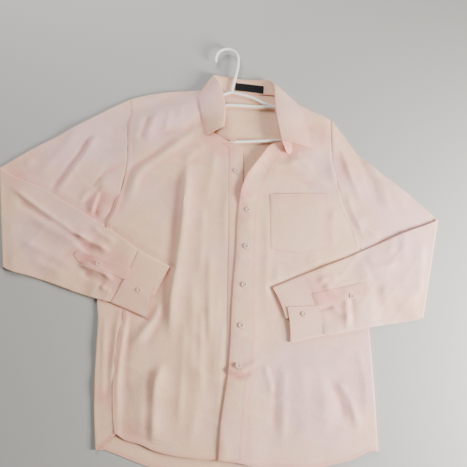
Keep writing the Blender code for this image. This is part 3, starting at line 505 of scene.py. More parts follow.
def left_top(x, y):
    """The same on the left front, which laps the right front and rolls open at the neck."""
    lap = LAP * smooth((96 - x) / 42) * smooth((165 - y) / 70)
    return top(x, y) + lap + creases(ROLL, x, y) + creases(KINK, x, y)


def arm_top(x, y):
    """Middle of the upper layer of an upper arm."""
    loft = 1.2 + 0.9 * ripple(x, y, 70, 1.7, 60, 31)
    soft = loft + creases(ARM_CREASES, x, y) + crinkle(x, y, 62)
    return LOW + PLY + over_hanger(x, y) + free(x, y) * from_elbow(x, y) * np.maximum(soft, -0.6)


def beneath(x, y):
    """Top of what a forearm rests on."""
    off = np.min([inside(x, y, line) for line in (BODY_LINE, *ARM_LINES)], axis=0)
    return (LOW + PLY) * smooth(1 - off / EASE_DOWN)


def fore_low(x, y):
    """Middle of the lower layer of a forearm."""
    under = beneath(x, y)
    return LOW * 0.4 + mix(0.3, PLY * 0.82, smooth(under / (LOW + PLY))) + under * 0.94


def fore_top(x, y):
    """Middle of the upper layer of a forearm."""
    loft = 1.3 + 0.8 * ripple(x, y, 60, 1.6, 20, 41)
    soft = loft + creases(FORE_CREASES, x, y) + crinkle(x, y, -25)
    return fore_low(x, y) + PLY + from_elbow(x, y) * np.maximum(soft, -0.8)


def floor_layer(x, y):
    """Middle of the back, on the floor."""
    lift = creases(BACK_CREASES, x, y) + 0.4 * np.clip(ripple(x, y, 60, 2.2, 85, 51), 0, 1)
    return LOW + lift * 0.8


def under_neck(x, y):
    """Middle of the yoke's lower layer, which rises over the collar leaf folded under it."""
    near = np.hypot(np.maximum(0, np.maximum(-20 - x, x - 140)), np.maximum(0, 325 - y))
    return LOW + 2.1 * (1 - smooth(near / 50)) + 0.5 * np.clip(ripple(x, y, 40, 1.5, 10, 61), -0.4, 1)


def spots(table, x, y, seed):
    """Uneven soft patches, 0 to 1, round listed middles of x, y and reach."""
    share = np.zeros(np.shape(x))
    for middle_x, middle_y, reach in table:
        share += np.exp(-((x - middle_x) ** 2 + (y - middle_y) ** 2) / reach ** 2)
    return np.clip(share * (0.85 + 0.45 * ripple(x, y, 34, 1.5, 50, seed)), 0, 1)


# --- making cloth ---
EDGE_STEPS = (0, 0.6, 2.0)      # rows just inside the edge of a small piece
looks = {}             # materials by name
seams = {}             # runs of stitches by the name of their piece


def shares(width, first, last=None, step=4.0):
    """Shares across a panel: millimetres in from both edges as given, and even steps between."""
    near = np.array(first) / width
    far = 1 - np.array(first if last is None else last)[::-1] / width
    count = int((far[0] - near[-1]) * width / step)
    return np.concatenate((near, np.linspace(near[-1], far[0], count + 2)[1:-1], far))


def band(inset, width, height):
    """A turned-in edge: the cloth is thicker from the edge to its stitching."""
    return height * smooth((width - inset) / 1.6) * (inset > -0.5)


def groove(inset, depth=0.35, width=1.4):
    """A seam's groove, at the edge."""
    return -depth * np.exp(-(inset / width) ** 2)


def stack(x, y, z):
    return np.stack(np.broadcast_arrays(x, y, z), axis=-1)


def unit(vectors):
    return vectors / (np.linalg.norm(vectors, axis=-1, keepdims=True) + 1e-9)


def facing(grid):
    """Normals of a grid of points, upwards."""
    normal = unit(np.cross(np.gradient(grid, axis=1), np.gradient(grid, axis=0)))
    return normal * np.where(normal[..., 2:] < 0, -1, 1)


def run_along(grid, axis=0):
    """Length along each line of a grid, from its first point."""
    steps = np.diff(grid, axis=axis, prepend=np.take(grid, [0], axis=axis))
    return np.cumsum(np.linalg.norm(steps, axis=-1), axis=axis)


def at_length(line, length, place):
    """Points of a line at lengths along it."""
    return np.stack([np.interp(place, length, values) for values in line.T], axis=-1)


def crease_shade_depth(z):
    """How far each point lies below its neighbours, 0 to 1: the mask for the painted shade in creases."""
    wide = np.pad(z, 3, mode="edge")
    mean = (wide[3:-3, :-6] + wide[3:-3, 6:] + wide[:-6, 3:-3] + wide[6:, 3:-3]) / 4
    return np.clip((mean - z) / 1.6, 0, 1)


def thing(name, data, faces=None):
    """A new object, from its data or from points in millimetres and their faces."""
    if faces is not None:
        points = (np.array(data) * MM).tolist()
        data = bpy.data.meshes.new(name)
        data.from_pydata(points, [], faces)
    made = bpy.data.objects.new(name, data)
    bpy.context.scene.collection.objects.link(made)
    return made


def settle(piece):
    """Apply the modifiers, drop loose points and set the shading."""
    bpy.context.view_layer.update()
    graph = bpy.context.evaluated_depsgraph_get()
    mesh = bpy.data.meshes.new_from_object(piece.evaluated_get(graph))
    piece.modifiers.clear()
    piece.data = mesh
    work = bmesh.new()
    work.from_mesh(mesh)
    bmesh.ops.delete(work, geom=[v for v in work.verts if not v.link_faces], context="VERTS")
    work.to_mesh(mesh)
    work.free()
    mesh.shade_smooth()
    mesh.set_sharp_from_angle(angle=math.radians(48))


def combine(piece, other, how):
    """Join another object to a piece, or cut it away."""
    change = piece.modifiers.new(other.name, "BOOLEAN")
    change.operation = how
    change.object = other
    settle(piece)
    bpy.data.objects.remove(other)


def dress(piece, look, slot, stands_for=None):
    """Give a piece its material and body, and hide the node whose place it takes; the slot is not used."""
    piece.data.materials.clear()
    piece.data.materials.append(looks[look])
    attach(piece, "root")
    if stands_for:
        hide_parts(stands_for)


def sew(name, grid, keep=None, ring=False, thick=THICK, painted_pink_shade=0.0, look="cloth", slot="cloth"):
    """A shell of cloth through a grid of points, as a piece that takes its node's place."""
    index = np.arange(grid[..., 0].size).reshape(grid.shape[:2])
    right = np.roll(index, -1, axis=1)
    faces = np.stack((index[:-1], right[:-1], right[1:], index[1:]), axis=-1)
    if not ring:
        faces = faces[:, :-1]
    if keep is not None:
        faces = faces[keep]
    piece = thing(name + "_cloth", grid.reshape(-1, 3), faces.reshape(-1, 4).tolist())
    mesh = piece.data
    flat = np.stack((run_along(grid, 1), run_along(grid, 0)), axis=-1).reshape(-1, 2) * MM
    corners = np.zeros(len(mesh.loops), int)
    mesh.loops.foreach_get("vertex_index", corners)
    mesh.uv_layers.new(name="grain").data.foreach_set("uv", flat[corners].ravel())
    x, y, z = np.moveaxis(grid, -1, 0)
    # Colour masks: painted shade in creases, painted shade along edges and in listed spots, and cooler
    # patches.
    masks = {"painted_crease_shade": crease_shade_depth(z), "painted_pink_shade": np.clip(spots(PINK_SHADE_SPOTS, x, y, 91) + painted_pink_shade, 0, 1),
             "cool": spots(COOLER, x, y, 92)}
    for title, values in masks.items():
        mask = mesh.attributes.new(title, "FLOAT", "POINT")
        mask.data.foreach_set("value", values.ravel().astype(np.float32))
    shell = piece.modifiers.new("Shell", "SOLIDIFY")
    shell.thickness = thick * MM
    shell.offset = 0
    settle(piece)
    dress(piece, look, slot, name)


# --- stitching ---
PITCH = 3.1            # from one stitch to the next
STITCH = 2.4           # length of a stitch
THREAD = 0.24          # half the thread's width


def stitch(name, grid, *lines, rise=THICK / 2, up=None):
    """Remember runs of stitches along lines of a piece's grid, a little above its middle."""
    normal = facing(grid) if up is None else np.broadcast_to(up, grid.shape)
    seams.setdefault(name, []).extend((grid[line], normal[line], rise) for line in lines)


def add_dash(points, faces, corners):
    """One stitch: four corners round it, its top and its underside."""
    first = len(points)
    points += corners
    for a, b in ((0, 1), (1, 2), (2, 3), (3, 0)):
        faces += [(first + a, first + b, first + 4), (first + b, first + a, first + 5)]


def sew_threads():
    """The stitches of each piece, as a piece of their own; returns them by the sewn piece's name."""
    threads = {}
    for name, runs in seams.items():
        points, faces = [], []
        for line, normals, rise in runs:
            length = run_along(line)
            for middle in np.arange(PITCH / 2, length[-1] - PITCH / 2, PITCH):
                start, end = (at_length(line, length, middle + way * STITCH / 2) for way in (-1, 1))
                up = unit(at_length(normals, length, middle))
                side = unit(np.cross(up, end - start)) * THREAD
                start, end = start + up * rise, end + up * rise
                body = (start + end) / 2
                add_dash(points, faces, [start - up * 0.1, body + side + up * 0.02, end - up * 0.1,
                                         body - side + up * 0.02, body + up * 0.26, body - up * 0.16])
        piece = thing(name + "_stitches", points, faces)
        piece.data.shade_smooth()
        dress(piece, *(("tape", "label") if name == "label" else ("thread", "cloth")))
        threads[name] = [piece]
    return threads


# --- materials ---
def group(name, inputs, outputs):
    """An empty shader node group; returns its tree, what it is given and what it gives out."""
    tree = bpy.data.node_groups.new(name, "ShaderNodeTree")
    for way, sockets in (("INPUT", inputs), ("OUTPUT", outputs)):
        for title, kind in sockets.items():
            tree.interface.new_socket(title, in_out=way, socket_type="NodeSocket" + kind)
    return tree, tree.nodes.new("NodeGroupInput").outputs, tree.nodes.new("NodeGroupOutput").inputs


def node(tree, kind, links=None, **values):
    """The outputs of a new node, with its inputs linked or set by name."""
    made = tree.nodes.new("ShaderNode" + kind)
    for key, value in values.items():
        setattr(made, key, value)
    feed(tree, made.inputs, links or {})
    return made.outputs


def feed(tree, sockets, links):
    for title, source in links.items():
        if isinstance(source, bpy.types.NodeSocket):
            tree.links.new(source, sockets[title])
        else:
            sockets[title].default_value = source


def calc(tree, operation, *values, clamp=False):
    return node(tree, "Math", dict(enumerate(values)), operation=operation, use_clamp=clamp)[0]


def noise(tree, place, scale, detail=2.0, twist=0.0):
    links = {"Vector": place, "Scale": scale, "Detail": detail, "Distortion": twist}
    return node(tree, "TexNoise", links)["Fac"]


def span(tree, *limits):
    """A value from one range spread over another."""
    return node(tree, "MapRange", dict(enumerate(limits)))[0]


def blend(tree, share, first, second):
    return node(tree, "Mix", {"Factor": share, 6: first, 7: second}, data_type="RGBA")[2]


def bump(tree, height, strength, distance, **under):
    return node(tree, "Bump", {"Height": height, "Strength": strength, "Distance": distance, **under})[0]


def weave_group():
    """Plain weave: the height of crossing threads, and slubs that run along them."""
    tree, given, out = group(
        "plain weave", {"Grain": "Vector", "Threads per metre": "Float", "Slub": "Float"},
        {"Height": "Float", "Slubs": "Float"})
    size = node(tree, "VectorMath", {0: given["Grain"], "Scale": given["Threads per metre"]},
                operation="SCALE")
    split = node(tree, "SeparateXYZ", {0: size[0]})
    waves = [calc(tree, "SINE", calc(tree, "MULTIPLY", split[axis], math.pi)) for axis in "XY"]
    slubs = []
    for stretch in ((900.0, 40.0, 1.0), (40.0, 900.0, 1.0)):
        pull = node(tree, "VectorMath", {0: given["Grain"], 1: stretch}, operation="MULTIPLY")
        slubs.append(noise(tree, pull[0], 1.0))
    even = calc(tree, "SUBTRACT", calc(tree, "ADD", *slubs), 1.0)
    uneven = calc(tree, "MULTIPLY", even, given["Slub"])
    feed(tree, out, {"Height": calc(tree, "ADD", calc(tree, "MULTIPLY", *waves), uneven), "Slubs": even})
    return tree


def tone_group():
    """Cloth colour: broad uneven fading of its own tone, with painted shade that is pinker and darker in
    creases, along sewn edges and in spots.
    """
    tree, given, out = group("cloth tone", {
        "Place": "Vector", "Painted crease shade": "Float", "Painted pink shade": "Float", "Cool share": "Float", "Slubs": "Float",
        "Plain": "Color", "Cool": "Color", "Rosy": "Color"}, {"Color": "Color", "Roughness": "Float"})
    drift = span(tree, noise(tree, given["Place"], 9.0, 3.0), 0.35, 0.65, -0.2, 0.3)
    share = calc(tree, "ADD", given["Cool share"], drift, clamp=True)
    cool = blend(tree, share, given["Plain"], given["Cool"])
    small = noise(tree, given["Place"], 38.0, 3.0)
    # Painted shade: the crease and edge masks push the colour towards the darker rosy tint; the patchy share
    # is uneven tone of the cloth.
    crease_shade = calc(tree, "MULTIPLY", given["Painted crease shade"], 0.42)
    pinker_shade = calc(tree, "MULTIPLY", given["Painted pink shade"], 0.5)
    patchy = span(tree, small, 0.4, 0.7, 0.0, 0.16)
    rosy = calc(tree, "ADD", calc(tree, "ADD", crease_shade, pinker_shade), patchy, clamp=True)
    shade = calc(tree, "MULTIPLY_ADD", given["Slubs"], 0.06, 1.0)
    pink = blend(tree, rosy, cool, given["Rosy"])
    final = node(tree, "VectorMath", {0: pink, "Scale": shade}, operation="SCALE")
    feed(tree, out, {"Color": final[0], "Roughness": span(tree, small, 0.0, 1.0, 0.78, 0.92)})
    return tree


def new_look(key, name, settings):
    """A new material with its shader set; returns its node tree and the shader's sockets."""
    looks[key] = bpy.data.materials.new(name)
    looks[key].use_nodes = True
    tree = looks[key].node_tree
    sockets = tree.nodes["Principled BSDF"].inputs
    feed(tree, sockets, settings)
    return tree, sockets


def drifting(key, name, settings, grain, dark, light):
    """A look whose colour drifts between two tints with fine noise; also returns the noise."""
    tree, sockets = new_look(key, name, settings)
    drift = noise(tree, node(tree, "TexCoord")["Object"], *grain)
    feed(tree, sockets, {"Base Color": blend(tree, drift, (*dark, 1), (*light, 1))})
    return tree, sockets, drift


def woven(tree, weave, count):
    """The outputs of the weave, laid along a piece's grain."""
    grain = node(tree, "UVMap", uv_map="grain")[0]
    return node(tree, "Group", {"Grain": grain, "Threads per metre": count, "Slub": 0.5}, node_tree=weave)


def make_looks():
    weave, tone = weave_group(), tone_group()
    plain = (0.87, 0.565, 0.365, 1)
    tree, sockets = new_look("cloth", "shirt cloth", {
        "Base Color": plain, "Roughness": 0.85, "Sheen Weight": 0.12, "Sheen Roughness": 0.5,
        "Specular IOR Level": 0.25})
    place = node(tree, "TexCoord")["Object"]
    threads = woven(tree, weave, 2600.0)
    # Rosy is the darker tint of the painted shade in creases and along edges, and of small random patches of
    # tone.
    given = {"Place": place, "Slubs": threads["Slubs"], "Plain": plain, "Cool": (0.83, 0.53, 0.505, 1),
             "Rosy": (0.78, 0.30, 0.26, 1)}
    for title, socket in (("painted_crease_shade", "Painted crease shade"), ("painted_pink_shade", "Painted pink shade"), ("cool", "Cool share")):
        given[socket] = node(tree, "Attribute", attribute_name=title)["Fac"]
    colour = node(tree, "Group", given, node_tree=tone)
    soft = bump(tree, noise(tree, place, 260.0, 3.0), 0.35, 0.0012)
    weft = bump(tree, threads["Height"], 0.3, 0.00012, Normal=soft)
    feed(tree, sockets, {"Base Color": colour["Color"], "Roughness": colour["Roughness"], "Normal": weft})

    tree, sockets = new_look("tape", "label tape", {
        "Base Color": (0.008, 0.008, 0.009, 1), "Roughness": 0.7, "Specular IOR Level": 0.15})
    threads = woven(tree, weave, 3000.0)
    tint = blend(tree, threads["Slubs"], (0.006, 0.006, 0.007, 1), (0.016, 0.016, 0.018, 1))
    feed(tree, sockets, {"Base Color": tint, "Normal": bump(tree, threads["Height"], 0.4, 0.0002)})

    drifting("thread", "sewing thread", {"Base Color": (0.72, 0.47, 0.40, 1), "Roughness": 0.6},
             (900.0,), (0.66, 0.42, 0.35), (0.80, 0.56, 0.49))
    drifting("button", "button", {
        "Base Color": (0.80, 0.66, 0.59, 1), "Roughness": 0.28, "Coat Weight": 0.3},
        (160.0, 4.0, 1.5), (0.72, 0.45, 0.36), (0.80, 0.58, 0.50))
    tree, sockets, flow = drifting("plastic", "hanger plastic", {
        "Base Color": (0.86, 0.90, 0.87, 1), "Roughness": 0.32, "Subsurface Weight": 0.15,
        "Subsurface Scale": 0.004},
        (30.0,), (0.88, 0.94, 0.90), (0.93, 0.97, 0.95))
    feed(tree, sockets, {"Roughness": span(tree, flow, 0.0, 1.0, 0.24, 0.42)})
    new_look("floor", "pale floor", {"Base Color": (0.42, 0.41, 0.385, 1), "Roughness": 0.85})


# --- body ---
EDGE = (0, 0.7, 2.2, 6.0, 7.5)                           # rows inside a free edge
SEWN = (-TUCK, -0.9, 0.3, 1.2, 2.2, 6.0, 7.5)            # rows at a sewn edge, from beneath its neighbour
AT_2, AT_6 = SEWN.index(2.2), SEWN.index(6.0)            # its rows of stitches
AT_HEM = -1 - EDGE.index(6.0)                            # the hem's stitches
SIDE_FLAT = 16                                           # how far from a side fold the cloth begins to turn


def pinker_shade(inset, width, share):
    """Painted shade along a sewn or turned edge: how much pinker and darker it is painted near the edge."""
    return share * smooth((width - inset) / 3)


def seamed(inset, width, height, share=1.0):
    """A sewn edge: a thicker band, a groove at the seam, and lower beneath the neighbour."""
    return band(inset, width, height) + share * (groove(inset) - 0.75 * (inset < -0.5))


def front_right():
    """The wearer's right front."""
    width, length = 240, 700
    across = shares(width, SEWN, EDGE)
    down = shares(length, SEWN, EDGE)
    v, u = np.meshgrid(down, across, indexing="ij")
    y = mix(along(TOP_RIGHT, u), along(HEM_RIGHT, u), v)
    arm = smooth((y - UNDERARM_RIGHT) / 12)
    edge = mix(along(SIDE_SEAM_RIGHT, y) - 3.5, along(ARMHOLE_RIGHT, y), arm)
    x = mix(edge, along(NECK_RIGHT, y), mix((u - across[0]) / (1 - across[0]), u, arm))
    in_side, in_hem = x - edge, (1 - v) * length
    z = top(x, y) + 0.75 * (1 - arm) * smooth((14 - in_side) / 8)
    z += seamed(in_side, 8, 0.35, arm) + seamed(v * length, 7, 0.3) + band(in_hem, 7, 0.4)
    grid = stack(x, y, z)
    # Painted shade: pinker and darker along the hem and the side seam.
    sew("front_right", grid, painted_pink_shade=pinker_shade(in_hem, 8, 0.7) + pinker_shade(in_side, 8, 0.5))
    lower = int(len(down) * 0.45)
    stitch("front_right", grid, np.s_[:, AT_6], np.s_[lower:, AT_2], np.s_[AT_2], np.s_[AT_HEM])


def side_wrap(edge, out, start, end, width, last=10):
    """x, z columns that turn round a side fold from one height to the other, and go back by width."""
    r = (start - end) / 2
    columns = [(mix(SIDE_FLAT, np.abs(r), k / 4), start) for k in range(1, 5)]
    for k in range(1, 10):
        turn = math.pi * k / 9
        columns.append((np.abs(r) * (1 - math.sin(turn)), (start + end) / 2 + r * math.cos(turn)))
    columns += [(mix(np.abs(r), width, k / last), end) for k in range(1, last + 1)]
    insets, heights = zip(*columns)
    return edge - out * np.hstack(insets), np.hstack(heights)


def front_left():
    """The wearer's left front, from its free edge over the chest and round the side fold."""
    width, length = 260, 690
    down = shares(length, SEWN, EDGE)
    v, u = np.meshgrid(down, shares(width, EDGE, (0,)), indexing="ij")
    y = mix(along(TOP_LEFT, u * 0.85), along(HEM_LEFT, u), v)
    arm = smooth((y - UNDERARM_LEFT) / 10)
    edge = mix(along(FOLD_LEFT, y), along(ARMHOLE_LEFT, y), arm)
    x = mix(along(NECK_LEFT, y), edge - SIDE_FLAT, u)
    in_hem = (1 - v) * length
    z = left_top(x, y) + seamed(v * length, 7, 0.3) + band(in_hem, 7, 0.4)
    z += 0.3 * smooth((8 - (edge - x)) / 3) * arm
    main_part = stack(x, y, z)

    y, edge, arm, v = y[:, -1:], edge[:, -1:], arm[:, -1:], v[:, -1:]
    side, heights = side_wrap(edge, 1, z[:, -1:], np.full_like(edge, LOW), along(WRAP_LEFT, y))
    k = np.arange(1, side.shape[1] + 1) / side.shape[1]
    straight = edge - SIDE_FLAT + (SIDE_FLAT + TUCK) * k ** 0.8
    slope = along(TOP_LEFT, 0.85 + 0.15 * k) - along(TOP_LEFT, 0.85)
    y_side = y + slope * (1 - v) ** 3 * arm
    raised = left_top(straight, y_side) + seamed(edge - straight, 8, 0.35)
    wrap = stack(mix(side, straight, arm), y_side, mix(heights, raised, arm))
    grid = np.concatenate((main_part, wrap), axis=1)
    # Painted shade: pinker and darker along the hem.
    sew("front_left", grid, painted_pink_shade=pinker_shade(in_hem[:, :1], 8, 0.7))
    stitch("front_left", grid, np.s_[AT_2, :-6], np.s_[AT_HEM, :-12])
    nearest = np.argmin(np.abs(grid[..., 0] - (edge - 6)), axis=1)
    armhole = grid[np.arange(len(down)), nearest][y[:, 0] > UNDERARM_LEFT + 6]
    stitch("front_left", armhole, np.s_[2:], up=(0, 0, 1.0))


def back():
    """The back below the yoke, on the floor and round the right side fold to its seam."""
    length = 690
    across = shares(480, (0, 6), (0,), 6.5)
    down = shares(length, (-TUCK, 0.3, 2.2, 6), EDGE, 5.5)
    v, u = np.meshgrid(down, across, indexing="ij")
    y = mix(YOKE_SEAM, along(HEM_BACK, u), v)
    left_arm = smooth((y - UNDERARM_LEFT) / 10)
    inner = mix(along(FOLD_LEFT, y) - along(WRAP_LEFT, y) - 1.5, along(ARMHOLE_LEFT, y) - 4, left_arm)
    arm = smooth((y - UNDERARM_RIGHT + 6) / 10)
    edge = mix(along(FOLD_RIGHT, y), along(ARMHOLE_RIGHT, y) + 1, arm)
    x = mix(inner, edge + SIDE_FLAT, u)
    z = np.maximum(floor_layer(x, y) - 0.4 * (v < 0), THICK / 2)
    main_part = stack(x, y, z)

    y, edge, level, v = y[:, -1:], edge[:, -1:], z[:, -1:], v[:, -1:]
    seam = along(SIDE_SEAM_RIGHT, y)
    roof = top(edge + 12, y)
    side, heights = side_wrap(edge, -1, level, roof, seam - edge, 14)
    y_side = np.broadcast_to(y, side.shape)
    in_side = side - edge
    past_fold = np.arange(side.shape[1]) > 12
    roof_here = top(side, y_side) - 0.1 + creases(WRAP_CREASES, side, y_side)
    heights = mix(heights, roof_here, smooth((in_side - np.abs(roof - level) / 2) / 10) * past_fold)
    share = np.clip(in_side / np.maximum(seam - edge, 1), 0, 1) * past_fold
    drop = along(HEM_WRAP, share) - along(HEM_WRAP, 0.0)
    grid = np.concatenate((main_part, stack(side, y + drop * v ** 2, heights)), axis=1)
    keep = np.ones((grid.shape[0] - 1, grid.shape[1] - 1), bool)
    keep[:, len(across) - 1:] = y[:-1] < UNDERARM_RIGHT - 2
    # Painted shade: pinker and darker along the hem.
    sew("back", grid, keep=keep, painted_pink_shade=pinker_shade((1 - v) * length, 8, 0.8))
    stitch("back", grid, np.s_[AT_HEM], np.s_[3, 2:len(across)])


def either_side(x, right, left):
    """Values of the table for the wearer's right or left, by place."""
    return np.where(x < 60, along(right, x), along(left, x))


def yoke():
    """Under the neck from armhole to armhole, and over each shoulder to the front seam."""
    neck_right, neck_left = SHOULDER_RIGHT[-1][0], SHOULDER_LEFT[0][0]
    right = np.linspace(-203, neck_right, 46)
    neck = np.linspace(neck_right, neck_left, 44)[1:-1]
    x = np.concatenate((right, neck, np.linspace(neck_left, 247, 26)))[:, None]
    fold = either_side(x, SHOULDER_RIGHT, SHOULDER_LEFT)
    seam = either_side(x, [(mix(-203, neck_right, u), y) for u, y in TOP_RIGHT],
                       [(mix(neck_left, 246, u), y) for u, y in TOP_LEFT])
    roof, low = top(x, fold - 8), under_neck(x, fold)
    r = (roof - low) / 2
    upper = np.where((x <= neck_right) | (x >= neck_left), fold - r, along(NECK_BACK, x))
    first = shares(100, (0, 2, 6), (0,), 4.5)
    y = mix(YOKE_SEAM, upper, first)
    under = stack(x, y, np.maximum(under_neck(x, y), THICK / 2))
    turn = np.linspace(0, math.pi, 9)[1:-1]
    bend = stack(x, fold - r + r * np.sin(turn), (roof + low) / 2 - r * np.cos(turn))
    y = mix(fold - r, seam, shares(36, (0, 3), (0, 0.7, 2.2, 6)))
    z = mix(roof, top(np.broadcast_to(x, y.shape), y), smooth((fold - r - y) / 14))
    over = stack(x, y, z + band(y - seam, 5, 0.35) + groove(y - seam))
    grid = np.concatenate((under, bend, over), axis=1)
    keep = np.ones((grid.shape[0] - 1, grid.shape[1] - 1), bool)
    first_left = len(right) + len(neck)
    keep[len(right) - 1:first_left, len(first) - 1:] = False
    sew("yoke", grid, keep=keep)
    stitch("yoke", grid, np.s_[:len(right), -3], np.s_[first_left:, -3], np.s_[:, 1])


def strip(name, rows, outer, inner, shift, height):
    """A stitched band between two lines of x, on the panel that it is sewn to."""
    y = rows[:, None]
    a, b = along(outer, y), along(inner, y) + shift
    width = np.abs(b - a).mean()
    u = shares(width, (0, 0.5, 1.6, 6.0))
    x = mix(a, b, u)
    rim = np.minimum(u, 1 - u) * width
    z = height(x, np.broadcast_to(y, x.shape)) + mix(0.55, ON_TOP, smooth(rim / 2.2))
    grid = stack(x, y, z - 0.12 * np.exp(-((rim - 6) / 1.1) ** 2))
    # Painted shade: pinker and darker along both edges of the strip.
    sew(name, grid, painted_pink_shade=pinker_shade(rim, 7.5, 0.75), thick=0.8)
    stitch(name, grid, np.s_[:, 3], np.s_[:, -4], rise=0.4)


def pocket():
    """Chest pocket with a pointed foot."""
    (x0, y0), (x1, y1), outer, foot, inner = POCKET
    width, length, hem = 122, 126, 27
    v, u = np.meshgrid(shares(length, (*EDGE_STEPS, 26, 27.5), EDGE_STEPS), shares(width, EDGE_STEPS),
                       indexing="ij")
    bottom = np.where(u < 0.5, mix(inner[1], foot[1], u * 2), mix(foot[1], outer[1], u * 2 - 1))
    x = mix(mix(x0, x1, u), mix(inner[0], outer[0], u), v)
    y = mix(mix(y0, y1, u), bottom, v)
    side = np.minimum(u, 1 - u)
    rim = np.minimum(side * width, (1 - v) * length)
    slack = 0.9 * smooth((1 - v) * 1.6) * smooth(side * 5)
    turned = 0.25 * smooth((hem - v * length) / 1.5)
    grid = stack(x, y, left_top(x, y) + mix(0.5, 0.75, smooth(rim / 2.4)) + slack + turned)
    # Painted shade: pinker and darker along the pocket's edges and over its turned top.
    sew("pocket", grid, painted_pink_shade=pinker_shade(rim, 5, 0.55) + pinker_shade(v * length, hem + 1, 0.35))
    stitch("pocket", grid, np.s_[:, 2], np.s_[:, -3], np.s_[-3], np.s_[3])


# --- sleeves and cuffs ---
ARC = np.linspace(0, math.pi, 8)[1:-1]       # steps of the turn at a sleeve's edge
FOLD_REACH = 2.2                             # how far a fold of the sleeve bulges at most
ROW_STEP = 4.6                               # from one section of the sleeve to the next, about
ARM_STEPS, FORE_STEPS = 11, 10               # sections put in for each row of the tables


def section_line(row, t):
    """Plan place of shares across a section, and its direction from the outer to the underarm edge."""
    ax, ay, bx, by, bow = row
    length = math.hypot(bx - ax, by - ay)
    ex, ey = (bx - ax) / length, (by - ay) / length
    bent = bow * 4 * t * (1 - t)
    return mix(ax, bx, t) - ey * bent, mix(ay, by, t) + ex * bent, (ex, ey), length


def tube_section(row, t, outer, inner, armhole=None, shift=0.0, base=0.0, normal=(0, 0, 1)):
    """One closed section of a flattened sleeve: its outer layer, a fold, its inner layer, a fold."""
    _, _, way, length = section_line(row, 0.5)
    t = np.clip(t, FOLD_REACH / length, 1 - FOLD_REACH / length)

    def plan(t):
        if armhole is None:
            return section_line(row, t)[:2]
        y = mix(row[1], row[3], t)
        return along(armhole, y) + shift, y

    def put(t, level, out=0.0):
        x, y = plan(t)
        return stack(x + way[0] * out + normal[0] * level, y + way[1] * out + normal[1] * level,
                     base + normal[2] * level)

    def fold(end, turn, sign):
        middle, half = (far[end] + near[end]) / 2, (near[end] - far[end]) / 2
        bulge = sign * min(FOLD_REACH, abs(half)) * np.sin(turn)
        return put(np.full_like(turn, t[end]), middle - half * np.cos(turn), bulge)

    far, near = outer(*plan(t)), inner(*plan(t))
    return np.concatenate((put(t, far), fold(-1, ARC, 1), put(t[::-1], near[::-1]), fold(0, ARC[::-1], -1)))


def level_at(height):
    return lambda x, y: np.full_like(x, height)


def elbow_sections(elbow, outward, t):
    """Sections round the elbow's fold."""
    ax, ay, bx, by = elbow
    out = np.array([ay - by, bx - ax]) / math.hypot(bx - ax, by - ay) * outward
    reach = 1.5 * PLY + THICK / 2
    made = []
    for turn in np.linspace(0, math.pi, 9):
        dx, dy = out * (PLY * math.sin(turn) - reach)
        normal = (*(-out * math.sin(turn)), math.cos(turn))
        base = LOW + PLY / 2 + PLY * (1 - math.cos(turn)) * 0.98
        made.append(tube_section((ax + dx, ay + dy, bx + dx, by + dy, 0), t, level_at(-PLY / 2),
                                 level_at(PLY / 2), base=base, normal=normal))
    return made


def sleeve(side, armhole, upper_arm, elbow, forearm, outward, cuff_end):
    """A flattened tube from the armhole, round the elbow's fold, to inside the cuff.

    Returns the grid of its outer layer.
    """
    t = shares(260, (0, 3, 6, 9.5), step=ROW_STEP)
    across = np.concatenate((t, np.full(6, t[-1]), t[::-1], np.full(6, t[0])))[:, None]
    last = [*elbow, 0]
    rows = round_path([*upper_arm, last], ARM_STEPS)
    sections = []
    for k, row in enumerate(rows[:-4]):
        section = tube_section(row, t, level_at(LOW), arm_top)
        if k < 9:
            sewn = tube_section(upper_arm[0], t, level_at(LOW), arm_top, armhole, outward * 0.2)
            sewn[:, :2] += mix(row[:2] - rows[0][:2], row[2:4] - rows[0][2:4], across)
            section = mix(sewn, section, smooth((k * ROW_STEP - 3) / 34))
        section[:, 2] += groove(k * ROW_STEP, 0.3, 2.2) * (section[:, 2] > LOW + 1)
        sections.append(section)
    sections += elbow_sections(elbow, outward, t)
    rows = round_path([last, *forearm], FORE_STEPS)[4:]
    for k, row in enumerate(rows):
        tight = smooth((k - len(rows) + 5) / 4)
        sections.append(tube_section(row, t, lambda x, y: fore_top(x, y) - tight * 0.5,
                                     lambda x, y: fore_low(x, y) + tight * 0.4))
    row = mix(np.array(forearm[-1], float), np.array(cuff_end, float), 0.1)
    row[:4] = mix(row[:4], np.tile((row[:2] + row[2:4]) / 2, 2), 0.03)
    sections.append(tube_section(row, t, lambda x, y: fore_low(x, y) + PLY * 0.75,
                                 lambda x, y: fore_low(x, y) + PLY * 0.3))
    grid = np.stack(sections)
    sew("sleeve_" + side, grid, ring=True)
    return grid[:, :len(t)]


